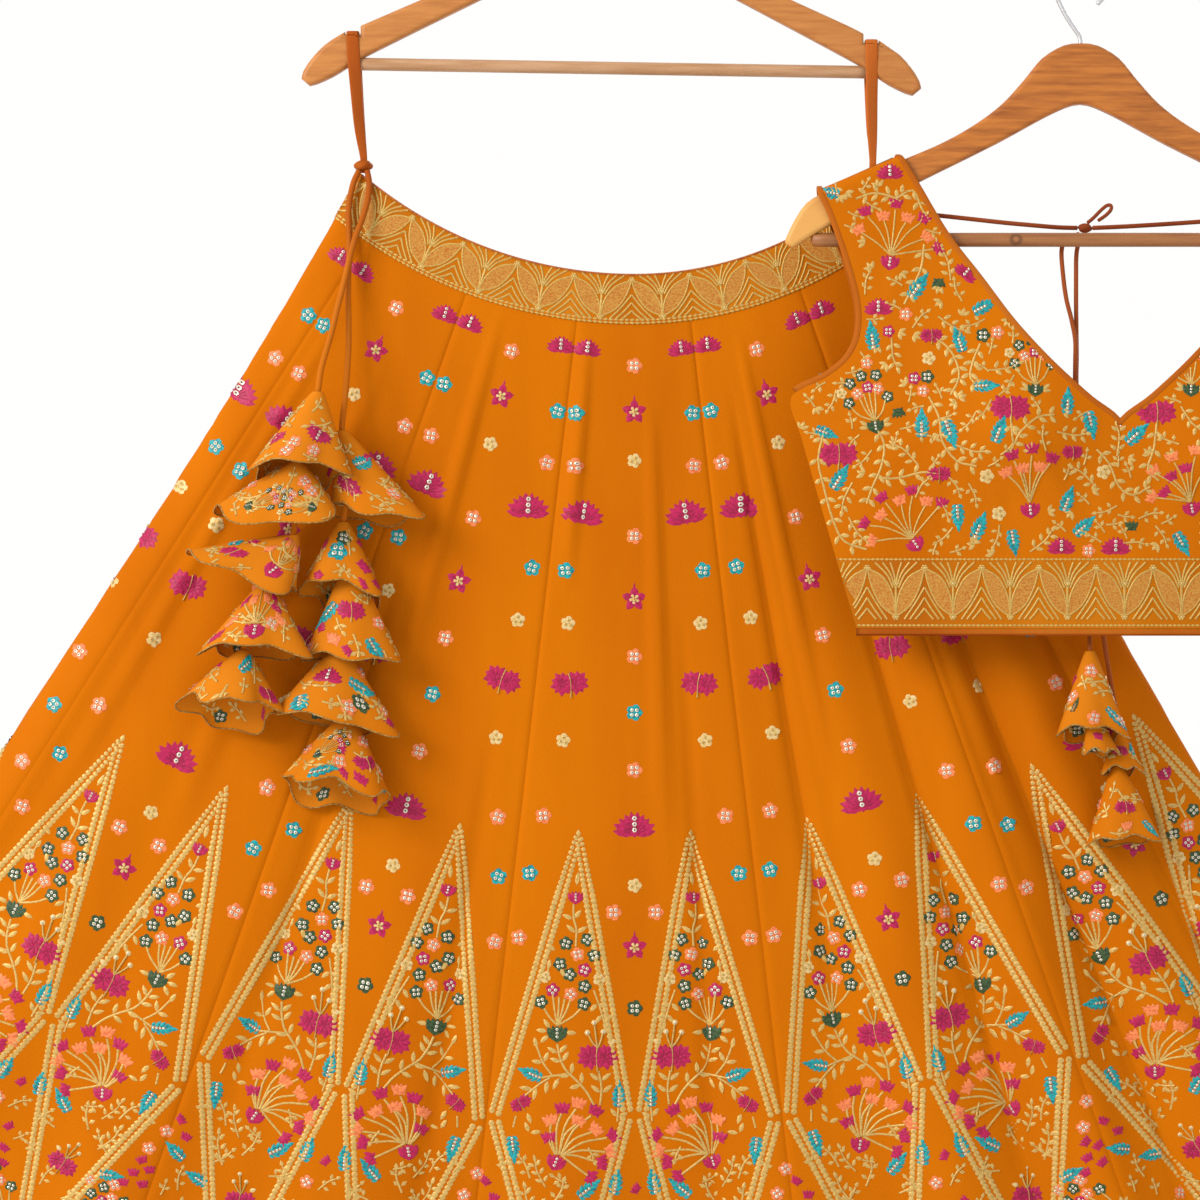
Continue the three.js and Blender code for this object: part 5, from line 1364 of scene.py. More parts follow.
def band_unit(width, height):
    """One repeat of the band, drawn from its middle line to both sides."""
    work = Stitches()
    half = width / 2
    apex = (0.0, height * 0.13)
    knot_y = height * 0.36
    foot_y = height * 0.87
    line = 1.35
    for side in (-1, 1):
        foot = (side * half, foot_y)
        outer = [apex, (side * half * 0.56, height * 0.27), (side * half * 0.90, height * 0.55), foot]
        inner = [apex, (side * half * 0.17, height * 0.42), (side * half * 0.50, height * 0.70), foot]
        filled_leaf(work, "stipple", outer, inner)
        stroke(work, "gold", outer, line, 0.85)
        stroke(work, "gold", inner, line, 0.85)
        for ray in range(3):
            spread = (0.20, 0.47, 0.74)[ray]
            top = (side * half * (1 - spread), height * 0.04)
            low = (side * half * (1 - 0.05 * ray), knot_y + ray * height * 0.035)
            bend = (side * half * (1 - spread * 0.42), height * 0.19 + ray * height * 0.02)
            stroke(work, "gold", [low, bend, top], line, 0.8)
    for level in range(3):
        top_y = height * (0.42 + 0.16 * level)
        reach = half * (0.70 - 0.19 * level)
        low_y = height * 0.91
        for side in (-1, 1):
            bend = (side * reach * 0.46, top_y + (low_y - top_y) * 0.50)
            stroke(work, "gold", [(side * reach, low_y), bend, (0, top_y)], line, 0.85)
    for spot in ((-half, foot_y), (-half, knot_y), apex):
        for turn in range(6):
            angle = 2 * math.pi * turn / 6
            x = spot[0] + 1.6 * math.cos(angle)
            y = spot[1] + 1.6 * math.sin(angle)
            disc(work, "gold", x, y, 1.1, 1.15, 5)
        disc(work, "cream", *spot, 1.2, 1.3, 6)
    stroke(work, "gold", [(-half, knot_y + 2), (-half, foot_y - 2)], 1.7, 0.9)
    return work


def keep_whole(points, faces, is_kept):
    """Drops triangles that have a corner which isn't kept."""
    faces = faces[is_kept[faces].all(axis=1)]
    used, numbers = np.unique(faces, return_inverse=True)
    return points[used], numbers.reshape(faces.shape)


def band_threads(threads):
    """The same threads with the bands' deeper gold."""
    return {**threads, "gold": threads["band_gold"]}


def add_work_pieces(prefix, mapped, threads):
    for colour, (points, faces) in mapped.items():
        if len(faces):
            piece = make_mesh(f"{prefix}_{colour}", points, faces, threads[colour])


def add_waistband_work(threads):
    middle = FAN["waist"] + FAN["band"] / 2
    unit_width = math.radians(BAND_REPEAT_ANGLE) * middle
    for side in ("front", "back"):
        left = -float(outline_angle("left", FAN["waist"]))
        right = float(outline_angle("right", FAN["waist"]))
        low, high = (left, right) if side == "front" else (right, TURN + left)
        low += 0.25
        high -= 0.25
        work = Stitches()
        drawn = band_unit(unit_width, FAN["band"])
        first = math.floor((low - BAND_APEX_ANGLE) / BAND_REPEAT_ANGLE)
        last = math.ceil((high - BAND_APEX_ANGLE) / BAND_REPEAT_ANGLE)
        for number in range(first, last + 1):
            work.place(drawn, math.radians(BAND_APEX_ANGLE + number * BAND_REPEAT_ANGLE) * middle, 0)
        steps = int((high - low) / 0.6)
        for step in range(steps):
            x = math.radians(low + (step + 0.5) * (high - low) / steps) * middle
            for from_edge, lean in ((2.6, 82), (0.9, 98)):
                petal(work, "gold", x - 1.6, FAN["band"] - from_edge, lean, 3.7, 2.1, 1.0)
        edge = [(math.radians(turn) * middle, 0.7) for turn in np.linspace(low, high, 120)]
        stroke(work, "cord", edge, 1.4, 0.8)
        mapped = {}
        for colour in work.counts:
            flat, faces = work.merged(colour)
            turn = np.degrees(flat[:, 0] / middle)
            points = skirt_surface(turn, FAN["waist"] + flat[:, 1], BAND_OUT + flat[:, 2])
            mapped[colour] = keep_whole(points, faces, (turn > low) & (turn < high))
        add_work_pieces(f"band_stitch_{side}", mapped, band_threads(threads))


# Tassel work: turn in degrees round the cone from its front, place down it, drawing, lean, size
def tassel_drawings():
    return {
        "latkan_a1": [(28, 0.62, SMALL_LOTUS, 200, 0.72), (-30, 0.50, SPRIGS[1], -40, 0.75),
                      (-62, 0.62, PEONY, 0, 0.55), (4, 0.30, SPRIGS[3], 30, 0.8),
                      (60, 0.72, SPRIGS[3], 60, 0.9)],
        "latkan_a2": [(-40, 0.74, SMALL_GREEN_FAN, 60, 0.44), (40, 0.76, SMALL_GREEN_FAN, -60, 0.42),
                      (4, 0.36, SPRIGS[3], 0, 0.8)],
        "latkan_a3": [(22, 0.66, SMALL_BOUQUET, 20, 0.72), (-38, 0.66, PEONY, 0, 0.55),
                      (-14, 0.38, SPRIGS[1], -80, 0.7),
                      (-58, 0.56, TEAL_LEAF, -60, 0.7), (-36, 0.86, SPRIGS[3], 160, 0.9)],
        "latkan_a4": [(0, 0.76, SMALL_BOUQUET, 0, 0.78), (-56, 0.80, TULIPS["magenta"], -20, 1.0),
                      (54, 0.60, SPRIGS[3], 70, 0.9)],
        "latkan_a5": [(6, 0.42, TEAL_LEAF, 50, 0.75), (-30, 0.62, SPRIGS[1], -60, 0.8),
                      (40, 0.66, SPRIGS[1], 30, 0.8),
                      (-8, 0.70, SPRIGS[3], 180, 0.9), (66, 0.76, PEONY, 0, 0.5)],
        "latkan_b1": [(-6, 0.42, TEAL_LEAF, 70, 0.75), (30, 0.60, SPRIGS[0], 100, 0.62),
                      (-40, 0.70, PEONY, 0, 0.6),
                      (0, 0.72, SPRIGS[1], 150, 0.7)],
        "latkan_b2": [(-10, 0.50, FLOWERETS["teal"], 0, 0.9), (20, 0.52, SPRIGS[1], 20, 0.75),
                      (50, 0.62, TULIPS["magenta"], 60, 0.9), (-44, 0.66, SPRIGS[3], -40, 0.9),
                      (4, 0.26, FLOWERETS["green"], 0, 0.7)],
        "latkan_b3": [(2, 0.50, PEONY, 0, 0.62), (-40, 0.44, TEAL_LEAF, -150, 0.75),
                      (34, 0.78, TEAL_LEAF, 160, 0.7),
                      (6, 0.74, SPRIGS[1], 180, 0.75), (-30, 0.82, TULIPS["peach"], 0, 0.9)],
        "latkan_b4": [(-18, 0.40, SMALL_LOTUS, 0, 0.75), (24, 0.42, TEAL_LEAF, 110, 0.75),
                      (-46, 0.72, TEAL_LEAF, 160, 0.8),
                      (4, 0.66, SPRIGS[1], 170, 0.8), (40, 0.68, FLOWERETS["green"], 0, 0.9),
                      (20, 0.78, FLOWERETS["peach"], 0, 0.8), (56, 0.82, SPRIGS[3], 60, 0.9)],
        "latkan_b5": [(-34, 0.60, SMALL_GREEN_FAN, 50, 0.42), (-30, 0.88, TEAL_LEAF, 85, 0.8),
                      (46, 0.60, PEONY, 0, 0.5), (30, 0.80, TULIPS["magenta"], 20, 0.9)],
        "choli_latkan_a1": [(0, 0.26, FLOWERETS["peach"], 0, 0.8), (-16, 0.52, SPRIGS[3], -30, 0.8),
                            (36, 0.72, TEAL_LEAF, 130, 0.7),
                            (-44, 0.80, make_serrated_leaf(16, "green"), 20, 0.6)],
        "choli_latkan_a2": [(0, 0.60, TULIPS["magenta"], 0, 0.7)],
        "choli_latkan_b1": [(0, 0.55, PEONY, 0, 0.42), (50, 0.60, TEAL_LEAF, 40, 0.5)],
        "choli_latkan_b2": [(10, 0.58, PEONY, 0, 0.5), (-34, 0.70, SPRIGS[3], -30, 0.8),
                            (46, 0.74, TEAL_LEAF, 150, 0.6),
                            (8, 0.84, TULIPS["peach"], 0, 0.8)],
    }


def add_tassel_work(threads):
    rng = random.Random(TASSEL_SCATTER["seed"])
    fillers = [SPRIGS[3], SPRIGS[1], TULIPS["magenta"], SPRIGS[3], FLOWERETS["peach"], SPRIGS[3],
               SPRIGS[1]]
    stitched = Stitches()
    for tassels, diameter, grown in (
            (SKIRT_TASSELS, DORI_DIAMETER, 1.32), (CHOLI_TASSELS, TIE_DIAMETER, 1.1)):
        for tassel in tassels:
            spots = [(degrees, down, drawing, lean, size * grown)
                     for degrees, down, drawing, lean, size in tassel_drawings()[tassel["name"]]]
            spots += [(180 - spot[0], *spot[1:]) for spot in spots]
            places = [tassel_point(tassel, diameter, math.radians(spot[0] - 90), spot[1])
                      for spot in spots]
            rooms = [9.0] * len(places)
            for _ in range(TASSEL_SCATTER["tries"]):
                degrees = rng.uniform(-180, 180)
                down = rng.uniform(0.28, 0.92)
                here = tassel_point(tassel, diameter, math.radians(degrees - 90), down)
                number = rng.randrange(len(fillers))
                room = 6.5 if number in (1, 6) else 4.6
                if all(np.linalg.norm(here - place) > (room + other) * 0.8
                       for place, other in zip(places, rooms)):
                    places.append(here)
                    rooms.append(room)
                    spots.append((degrees, down, fillers[number], rng.uniform(-170, 170), 0.9))
            inside = [(degrees, 0.86, drawing, lean, 0.9) for degrees, drawing, lean in (
                (70, TEAL_LEAF, 80), (130, TULIPS["magenta"], 20), (165, SPRIGS[1], 60),
                (-160, FLOWERETS["green"], 0), (-120, SPRIGS[1], -70), (-80, TULIPS["magenta"], 0))]
            for is_inside, group in ((False, spots), (True, inside)):
                for degrees, down, drawing, lean, size in group:
                    turn = math.radians(degrees - 90)
                    here = tassel_point(tassel, diameter, turn, down)
                    beside = tassel_point(tassel, diameter, turn + 0.05, down)
                    below = tassel_point(tassel, diameter, turn, down + 0.03)
                    across = np.linalg.norm(beside - here) / 0.05
                    along = np.linalg.norm(below - here) / 0.03
                    work = Stitches()
                    work.place(drawing, 0, 0, lean, size)
                    for colour in work.counts:
                        flat, faces = work.merged(colour)
                        downs = down + flat[:, 1] / along
                        out = 0.15 + flat[:, 2] * 0.8
                        points = tassel_surface(
                            tassel, diameter, turn + flat[:, 0] / across, np.clip(downs, 0.02, 1),
                            -out if is_inside else out)
                        points, faces = keep_whole(points, faces, (downs < 0.985) & (downs > 0.06))
                        stitched.add(colour, points, faces)
    joined = {colour: stitched.merged(colour) for colour in stitched.counts}
    add_work_pieces("tassel_stitch", joined, threads)


# Choli work: drawings by their place on the front, in millimetres
def choli_drawings():
    green_tulip = Stitches()
    green_tulip.add("green", *TULIPS["magenta"].merged("magenta"))
    fan_bouquet = make_bouquet([(-62, 34), (-48, 26), (-34, 44), (-22, 31), (-10, 45), (2, 33),
                                (14, 47), (30, 36)])
    side_bouquet = make_bouquet([(-52, 36), (-34, 45), (-16, 37), (-2, 47), (14, 38), (30, 44),
                                 (48, 36), (66, 40)])
    tall_bouquet = make_bouquet([(-28, 34), (-14, 44), (-6, 32), (6, 46), (18, 33), (28, 42)])
    return [
        (192, -278, SMALL_LOTUS, 0, 0.9), (157, -295, TEAL_LEAF, -80, 0.72),
        (192, -342, side_bouquet, 8, 0.86), (246, -349, SMALL_LOTUS, 40, 0.85),
        (206, -368, TEAL_LEAF, 35, 0.9), (226, -358, green_tulip, 180, 0.95),
        (250, -378, TEAL_LEAF, 62, 0.8), (184, -373, SMALL_LOTUS, 0, 0.95),
        (203, -379, FLOWERETS["peach"], 0, 0.8), (191, -391, FLOWERETS["magenta"], 0, 0.72),
        (221, -394, PEONY, 0, 0.58), (181, -404, TEAL_LEAF, -8, 0.85), (243, -406, TEAL_LEAF, -18, 0.8),
        (293, -432, SMALL_GREEN_FAN, 4, 0.78), (257, -394, FLOWERETS["green"], 0, 0.85),
        (267, -392, FLOWERETS["peach"], 0, 0.8), (219, -410, FLOWERETS["cream"], 0, 0.9),
        (218, -423, FLOWERETS["green"], 0, 0.8), (209, -424, FLOWERETS["magenta"], 0, 0.75),
        (215, -433, FLOWERETS["peach"], 0, 0.75), (275, -445, PEONY, 0, 1.02),
        (182, -457, SMALL_GREEN_FAN, -8, 0.82), (198, -449, green_tulip, 170, 0.95),
        (214, -466, TEAL_LEAF, 0, 0.86), (230, -453, TEAL_LEAF, 160, 0.9),
        (264, -470, TEAL_LEAF, 20, 0.85), (250, -430, TEAL_LEAF, 88, 0.75),
        (315, -450, TEAL_LEAF, 4, 0.8), (330, -447, TEAL_LEAF, 168, 0.85), (156, -477, PEONY, 0, 1.0),
        (152, -502, TEAL_LEAF, 32, 0.85), (140, -459, TEAL_LEAF, 112, 0.7),
        (210, -540, side_bouquet, -34, 0.84), (226, -491, PEONY, 0, 0.62),
        (239, -512, TEAL_LEAF, 176, 0.8), (251, -537, TEAL_LEAF, 22, 0.85),
        (277, -530, TEAL_LEAF, 170, 0.78), (290, -516, tall_bouquet, -6, 0.9),
        (319, -476, PEONY, 0, 0.55), (313, -518, TEAL_LEAF, 20, 0.8), (321, -534, TEAL_LEAF, 48, 0.8),
        (341, -490, FLOWERETS["cream"], 0, 0.95), (268, -519, FLOWERETS["cream"], 0, 0.95),
        (259, -493, FLOWERETS["cream"], 0, 0.95), (312, -541, SMALL_LOTUS, 0, 0.95),
        (350, -541, SMALL_LOTUS, 0, 1.0), (331, -545, FLOWERETS["peach"], 0, 0.8),
        (378, -448, PEONY, 0, 0.98), (402, -432, SMALL_GREEN_FAN, 4, 0.8),
        (403, -515, fan_bouquet, -12, 0.84), (361, -527, green_tulip, 0, 0.95),
        (357, -470, TEAL_LEAF, 48, 0.85), (392, -532, TEAL_LEAF, 150, 0.8),
    ]


CHOLI_VINES = [
    [(147, -458), (142, -480), (146, -500), (152, -522), (160, -538), (176, -544)],
    [(182, -458), (188, -470), (186, -486), (180, -500), (176, -512)],
    [(184, -494), (198, -494), (214, -490), (226, -491)],
    [(219, -437), (226, -452), (228, -468), (238, -482), (252, -486)],
    [(222, -395), (232, -402), (238, -412), (240, -424), (234, -436)],
    [(275, -450), (277, -470), (282, -462), (294, -452), (306, -450)],
    [(200, -300), (192, -296), (180, -294), (168, -298)],
    [(196, -298), (208, -292), (214, -304), (220, -314)],
    [(255, -400), (250, -412), (248, -424), (256, -432)],
    [(336, -474), (345, -484), (352, -500), (362, -506), (374, -500)],
    [(378, -456), (376, -474), (372, -488), (380, -496)],
    [(216, -330), (214, -346), (208, -360), (202, -372)],
]


def ray_map(tree, flat, front):
    """Points on a panel seen from the front or the back, and which of them meet it."""
    side = -1.0 if front else 1.0
    start_y = CHOLI["plane"] + side * 60
    heading = Vector((0, -side, 0))
    points = np.zeros_like(flat)
    is_met = np.zeros(len(flat), bool)
    for i, (x, z, height) in enumerate(flat):
        place, normal, _, _ = tree.ray_cast(Vector((x, start_y, z)), heading, 62)
        if place is None:
            continue
        if normal.y * side < 0:
            normal = -normal
        points[i] = place + normal * height
        is_met[i] = True
    return points, is_met


def mapped_to_panels(work, tree, front):
    """Each colour's stitches, put on the panels and cut off at their edges."""
    mapped = {}
    for colour in work.counts:
        flat, faces = work.merged(colour)
        flat = np.stack([flat[:, 0], -flat[:, 1], flat[:, 2]], axis=-1)
        points, is_met = ray_map(tree, flat, front)
        mapped[colour] = keep_whole(points, faces, is_met)
    return mapped


def fits(tree, x, z, room, front):
    turns = np.linspace(0, 2 * np.pi, 8, endpoint=False)
    ring = np.stack([x + room * np.cos(turns), z + room * np.sin(turns), np.zeros(8)], axis=-1)
    return ray_map(tree, ring, front)[1].all()


def add_choli_work(panels, bands, threads):
    rng = random.Random(CHOLI_SCATTER["seed"])
    middle = CHOLI["centre"]
    for front in (True, False):
        tree = new_tree(panels["front" if front else "back"])
        work = Stitches()
        taken = []
        drawings = choli_drawings()
        spots = [spot for spot in drawings if spot[0] < 430]
        spots += [(2 * middle - x, z, drawing, -lean, size)
                  for x, z, drawing, lean, size in drawings if x < 270]
        if not front:
            spots = [spot for spot in spots if spot[1] < -470 or not (250 < spot[0] < 456)]
        for x, z, drawing, lean, size in spots:
            size *= 1.16 if drawing is TEAL_LEAF else 1.04
            work.place(drawing, x, -z, lean, size)
            flat = np.vstack([drawing.merged(colour)[0] for colour in drawing.counts])
            reach = (flat[:, 1].min() + flat[:, 1].max()) / 2 * size
            turned = math.radians(lean)
            room = min(np.ptp(flat[:, 0]), np.ptp(flat[:, 1])) / 2 * size
            taken.append((x - reach * math.sin(turned), z - reach * math.cos(turned), room))
            if np.ptp(flat[:, 1]) > 30:
                taken.append((x, z, room * 0.5))
        for vine in CHOLI_VINES:
            for flipped in (False, True):
                points = [(2 * middle - x if flipped else x, -z) for x, z in vine]
                if flipped and points[0][0] < 434:
                    continue
                stroke(work, "gold", points, 1.5, 0.75)
                line = smooth_route(points, 3)
                for place in range(1, len(line) - 1, 2):
                    ahead = line[place + 1] - line[place - 1]
                    angle = math.degrees(math.atan2(ahead[0], -ahead[1]))
                    leaf_pair(work, line[place][0], line[place][1], angle, 7.0, 3.1)
                taken.extend((x, -y, 4.0) for x, y in line[::2])
        fillers = [(SPRIGS[1], 8.5), (SPRIGS[3], 5.2), (SPRIGS[0], 11.0), (LEAF_TRIO, 4.0)]
        for attempt in range(CHOLI_SCATTER["tries"]):
            kinds = (0, 2, 1, 1, 3, 1) if attempt > CHOLI_SCATTER["large_tries"] else (2, 0)
            drawing, room = fillers[kinds[attempt % len(kinds)]]
            x = rng.uniform(128, 578)
            z = rng.uniform(-548, -272)
            if any(math.hypot(x - a, z - b) < (room + r) * 0.80 for a, b, r in taken):
                continue
            if not fits(tree, x, z, room * 0.85, front):
                continue
            lean = rng.uniform(-170, 170)
            turned = math.radians(lean)
            back = room * 0.9
            work.place(drawing, x - back * math.sin(turned), -(z - back * math.cos(turned)), lean, 0.86)
            taken.append((x, z, room))
        side = "front" if front else "back"
        add_work_pieces(f"choli_stitch_{side}", mapped_to_panels(work, tree, front), threads)
        add_choli_band_work(bands[side], front, threads)


def add_choli_band_work(pieces, front, threads):
    tree = new_tree(pieces)
    height = CHOLI["band_top"] - CHOLI["hem"]
    drawn = band_unit(CHOLI_BAND["repeat"], height - 3.5)
    work = Stitches()
    for number in range(-6, 7):
        work.place(drawn, CHOLI_BAND["apex"] + number * CHOLI_BAND["repeat"], -CHOLI["band_top"] + 1.2)
    x = 150.0
    while x < 556:
        for line_y in (-CHOLI["band_top"] + 1.0, -CHOLI["hem"] - 2.2):
            petal(work, "gold", x, line_y, 90, 3.6, 1.9, 0.9)
        x += 3.2
    side = "front" if front else "back"
    add_work_pieces(f"choli_band_stitch_{side}", mapped_to_panels(work, tree, front),
                    band_threads(threads))


# Bindings, tapes and ties

def add_ribbon(name, centres, widths, thickness, across, normals, material, node_names=()):
    """A flat band with rounded edges along its centres."""
    sides = 12
    turns = np.linspace(0, 2 * np.pi, sides, endpoint=False)
    power = 0.7
    sideways = np.sign(np.cos(turns)) * np.abs(np.cos(turns)) ** power
    upward = np.sign(np.sin(turns)) * np.abs(np.sin(turns)) ** power
    half = np.asarray(widths)[:, None, None] / 2
    points = (centres[:, None, :] + across[:, None, :] * sideways[None, :, None] * half
              + normals[:, None, :] * upward[None, :, None] * thickness / 2)
    count = len(centres)
    faces = [tuple(face) for face in grid_faces(count, sides, closed=True)]
    flat = points.reshape(-1, 3)
    faces.append(tuple(range(sides))[::-1])
    faces.append(tuple((count - 1) * sides + i for i in range(sides)))
    piece = make_mesh(name, flat, faces, material)
    for node_name in node_names:
        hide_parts(node_name)
    return piece


def edge_rows(side, across, rows):
    """Places beside a panel's edge for its binding, with the directions there."""
    rows = np.asarray(rows, float)
    here = choli_point(side, across, rows)
    inside = choli_point(side, 0.04 if across < 0.5 else 0.96, rows)
    along = choli_point(side, across, rows + 0.05) - choli_point(side, across,
                                                                 np.maximum(rows - 0.05, 0))
    normal = unit(np.cross(inside - here, along))
    normal = np.where((normal[:, 1] * side)[:, None] < 0, -normal, normal)
    away = unit(np.cross(along, normal))
    towards = ((inside - here) * away).sum(axis=1)
    away = np.where(towards[:, None] > 0, -away, away)
    at = here + away * (PIPING["gap"] + PIPING["width"] / 2) - normal * 0.75
    return at, away, normal


def over_shoulder(across, front_rows, back_rows):
    front = [rows[::-1] for rows in edge_rows(-1, across, front_rows)]
    back = edge_rows(1, across, back_rows)
    top = np.array([choli_point(-1, across, 0.0)])
    outward = -1.0 if across < 0.5 else 1.0
    top[0, 1] = CHOLI["plane"]
    top[0, 0] += outward * (PIPING["gap"] + PIPING["width"] / 2) * 0.9
    top[0, 2] += 0.7
    top_away = np.array([[outward, 0.0, 0.0]])
    top_normal = np.array([[0.0, 0.0, 1.0]])
    joined = []
    for a, b, c in zip(front, (top, top_away, top_normal), back):
        joined.append(np.vstack([a, b, c]))
    return joined


def smooth_band(at, away, normal, steps=4):
    line = smooth_route(at, steps)
    across = unit(smooth_route(away, steps))
    along = unit(np.gradient(line, axis=0))
    up = unit(np.cross(along, across))
    guide = smooth_route(normal, steps)
    up = np.where((up * guide).sum(axis=1)[:, None] < 0, -up, up)
    return line, across, up


def add_bindings(material, hem_piping_and_shade_material):
    rows = np.linspace(0.9, 7.0, 26)
    rows = np.append(rows, [7.3, 7.6, 7.8])
    armhole = over_shoulder(0, rows, rows)
    line, across, up = smooth_band(*armhole, steps=2)
    for half in ("left", "right"):
        turned = [line, across, up]
        if half == "right":
            turned = [mirrored(line), across * np.array([-1, 1, 1]), up * np.array([-1, 1, 1])]
        add_ribbon(f"binding_armhole_{half}", turned[0], np.full(len(line), PIPING["width"]),
                   PIPING["thickness"],
                   turned[1], turned[2], material, [f"choli_piping_armhole_{half}"])
    neck_rows = np.linspace(0.9, 7.9, 30)
    at, away, normal = over_shoulder(1, neck_rows, neck_rows)
    at, away, normal = at[::-1], away[::-1], normal[::-1]
    point = choli_point(-1, 1.0, 8.0) + np.array([0, 0.75, V_RISE])
    right_at = mirrored(at)[::-1]
    right_away = (away * np.array([-1, 1, 1]))[::-1]
    right_normal = (normal * np.array([-1, 1, 1]))[::-1]
    whole_at = np.vstack([at, [point], right_at])
    whole_away = np.vstack([away, [[0, 0, 1.0]], right_away])
    whole_normal = np.vstack([normal, [normal[-1] * np.array([0, 1, 1])], right_normal])
    line, across, up = smooth_band(whole_at, whole_away, whole_normal, steps=2)
    add_ribbon("binding_neck", line, np.full(len(line), PIPING["width"]), PIPING["thickness"], across,
               up, material,
               ["choli_piping_neck"])
    for side, nodes in ((-1, ["choli_piping_hem_front"]),
                        (1, ["choli_piping_hem_back_left", "choli_piping_hem_back_right"])):
        part = np.linspace(0, 1, 60)
        here = choli_point(side, part, np.full(60, float(HEM_ROW)))
        whole = np.vstack([here, mirrored(here)[::-1][1:]])
        # The second, lower strip is darker: partly a darker orange piping, partly painted shade under the first
        for level, (drop, width) in enumerate(((2.0, 4.2), (3.6, 3.0))):
            centres = whole + np.array([0, -side * (0.75 + 0.9 * level), -drop])
            count = len(centres)
            vertical = np.tile([0.0, 0.0, 1.0], (count, 1))
            outward = np.tile([0.0, float(side), 0.0], (count, 1))
            name = f"binding_hem_{'front' if side < 0 else 'back'}_{level + 1}"
            add_ribbon(name, centres, np.full(count, width), 1.5, vertical, outward,
                       material if level == 0 else hem_piping_and_shade_material, nodes if level == 0 else ())


def add_tape_loop(name, loop, material):
    tilt = math.radians(SKIRT_HANGER["tilt"])
    notch_z = -176.0 + 0.3 + 1.2
    top_x = loop["hanger_x"] * math.cos(tilt) + notch_z * math.sin(tilt)
    top_z = notch_z * math.cos(tilt) - loop["hanger_x"] * math.sin(tilt)
    reach = 6.0 + 0.6 + 0.3
    neck_x, neck_z = loop["neck_x"], loop["neck_z"]
    front = [
        (loop["end_x"], loop["end_y"] - 0.75, loop["end_z"], 5.0),
        (neck_x, KNOT["y"] - 0.75, neck_z + 1, 5.0), (neck_x, KNOT["y"] - 0.75, neck_z + 7, 5.2),
        (neck_x + (top_x - neck_x) * 0.4, KNOT["y"] - 1.6, neck_z + 30, 8.0),
        (neck_x + (top_x - neck_x) * 0.8, -reach - 0.1, top_z - 28, 9.5),
        (top_x, -reach - 0.1, top_z - 5, 9.0),
        (top_x, -reach, top_z - 2.4, 9.0), (top_x, -4.6, top_z + 0.4, 9.0),
        (top_x, 0, top_z + 0.7, 9.0),
    ]
    back = [
        (top_x, 4.6, top_z + 0.4, 9.0), (top_x, reach, top_z - 2.4, 9.0),
        (top_x, reach + 0.1, top_z - 5, 9.0),
        (neck_x + (top_x - neck_x) * 0.8, reach + 0.1, top_z - 28, 9.5),
        (neck_x + (top_x - neck_x) * 0.4, 1.5, neck_z + 30, 8.0),
        (neck_x, KNOT["y"] + 0.75, neck_z + 7, 5.2), (neck_x, KNOT["y"] + 0.75, neck_z + 1, 5.0),
        (loop["end_x"], loop["end_y"] + 0.75, loop["end_z"], 5.0),
    ]
    rows = smooth_route(np.array(front + back, float), 5)
    centres = rows[:, :3]
    along = unit(np.gradient(centres, axis=0))
    drop = (top_z - centres[:, 2]) / (top_z - neck_z)
    twist = np.radians(26) * np.sin(np.pi * np.clip(drop, 0, 1)) * np.where(centres[:, 1] < 0, 1, -0.6)
    across = np.stack([np.cos(twist), np.sin(twist), 0 * twist], axis=-1)
    across = unit(across - along * (across * along).sum(axis=1)[:, None])
    normals = np.cross(along, across)
    piece = add_ribbon(f"tape_{name}", centres, rows[:, 3], 1.1, across, normals, material,
                       [name])


# Hangers

def hanger_places(hanger, points):
    """A hanger's own places, tilted and moved to where it hangs."""
    tilt = math.radians(hanger["tilt"])
    points = np.asarray(points, float)
    x = points[:, 0] * math.cos(tilt) + points[:, 2] * math.sin(tilt)
    z = points[:, 2] * math.cos(tilt) - points[:, 0] * math.sin(tilt)
    return np.stack([x + hanger["x"], points[:, 1] + hanger["y"], z], axis=-1)


def shortened(slope, most):
    length = np.linalg.norm(slope)
    return slope / max(length, 1e-6) * min(length, most)


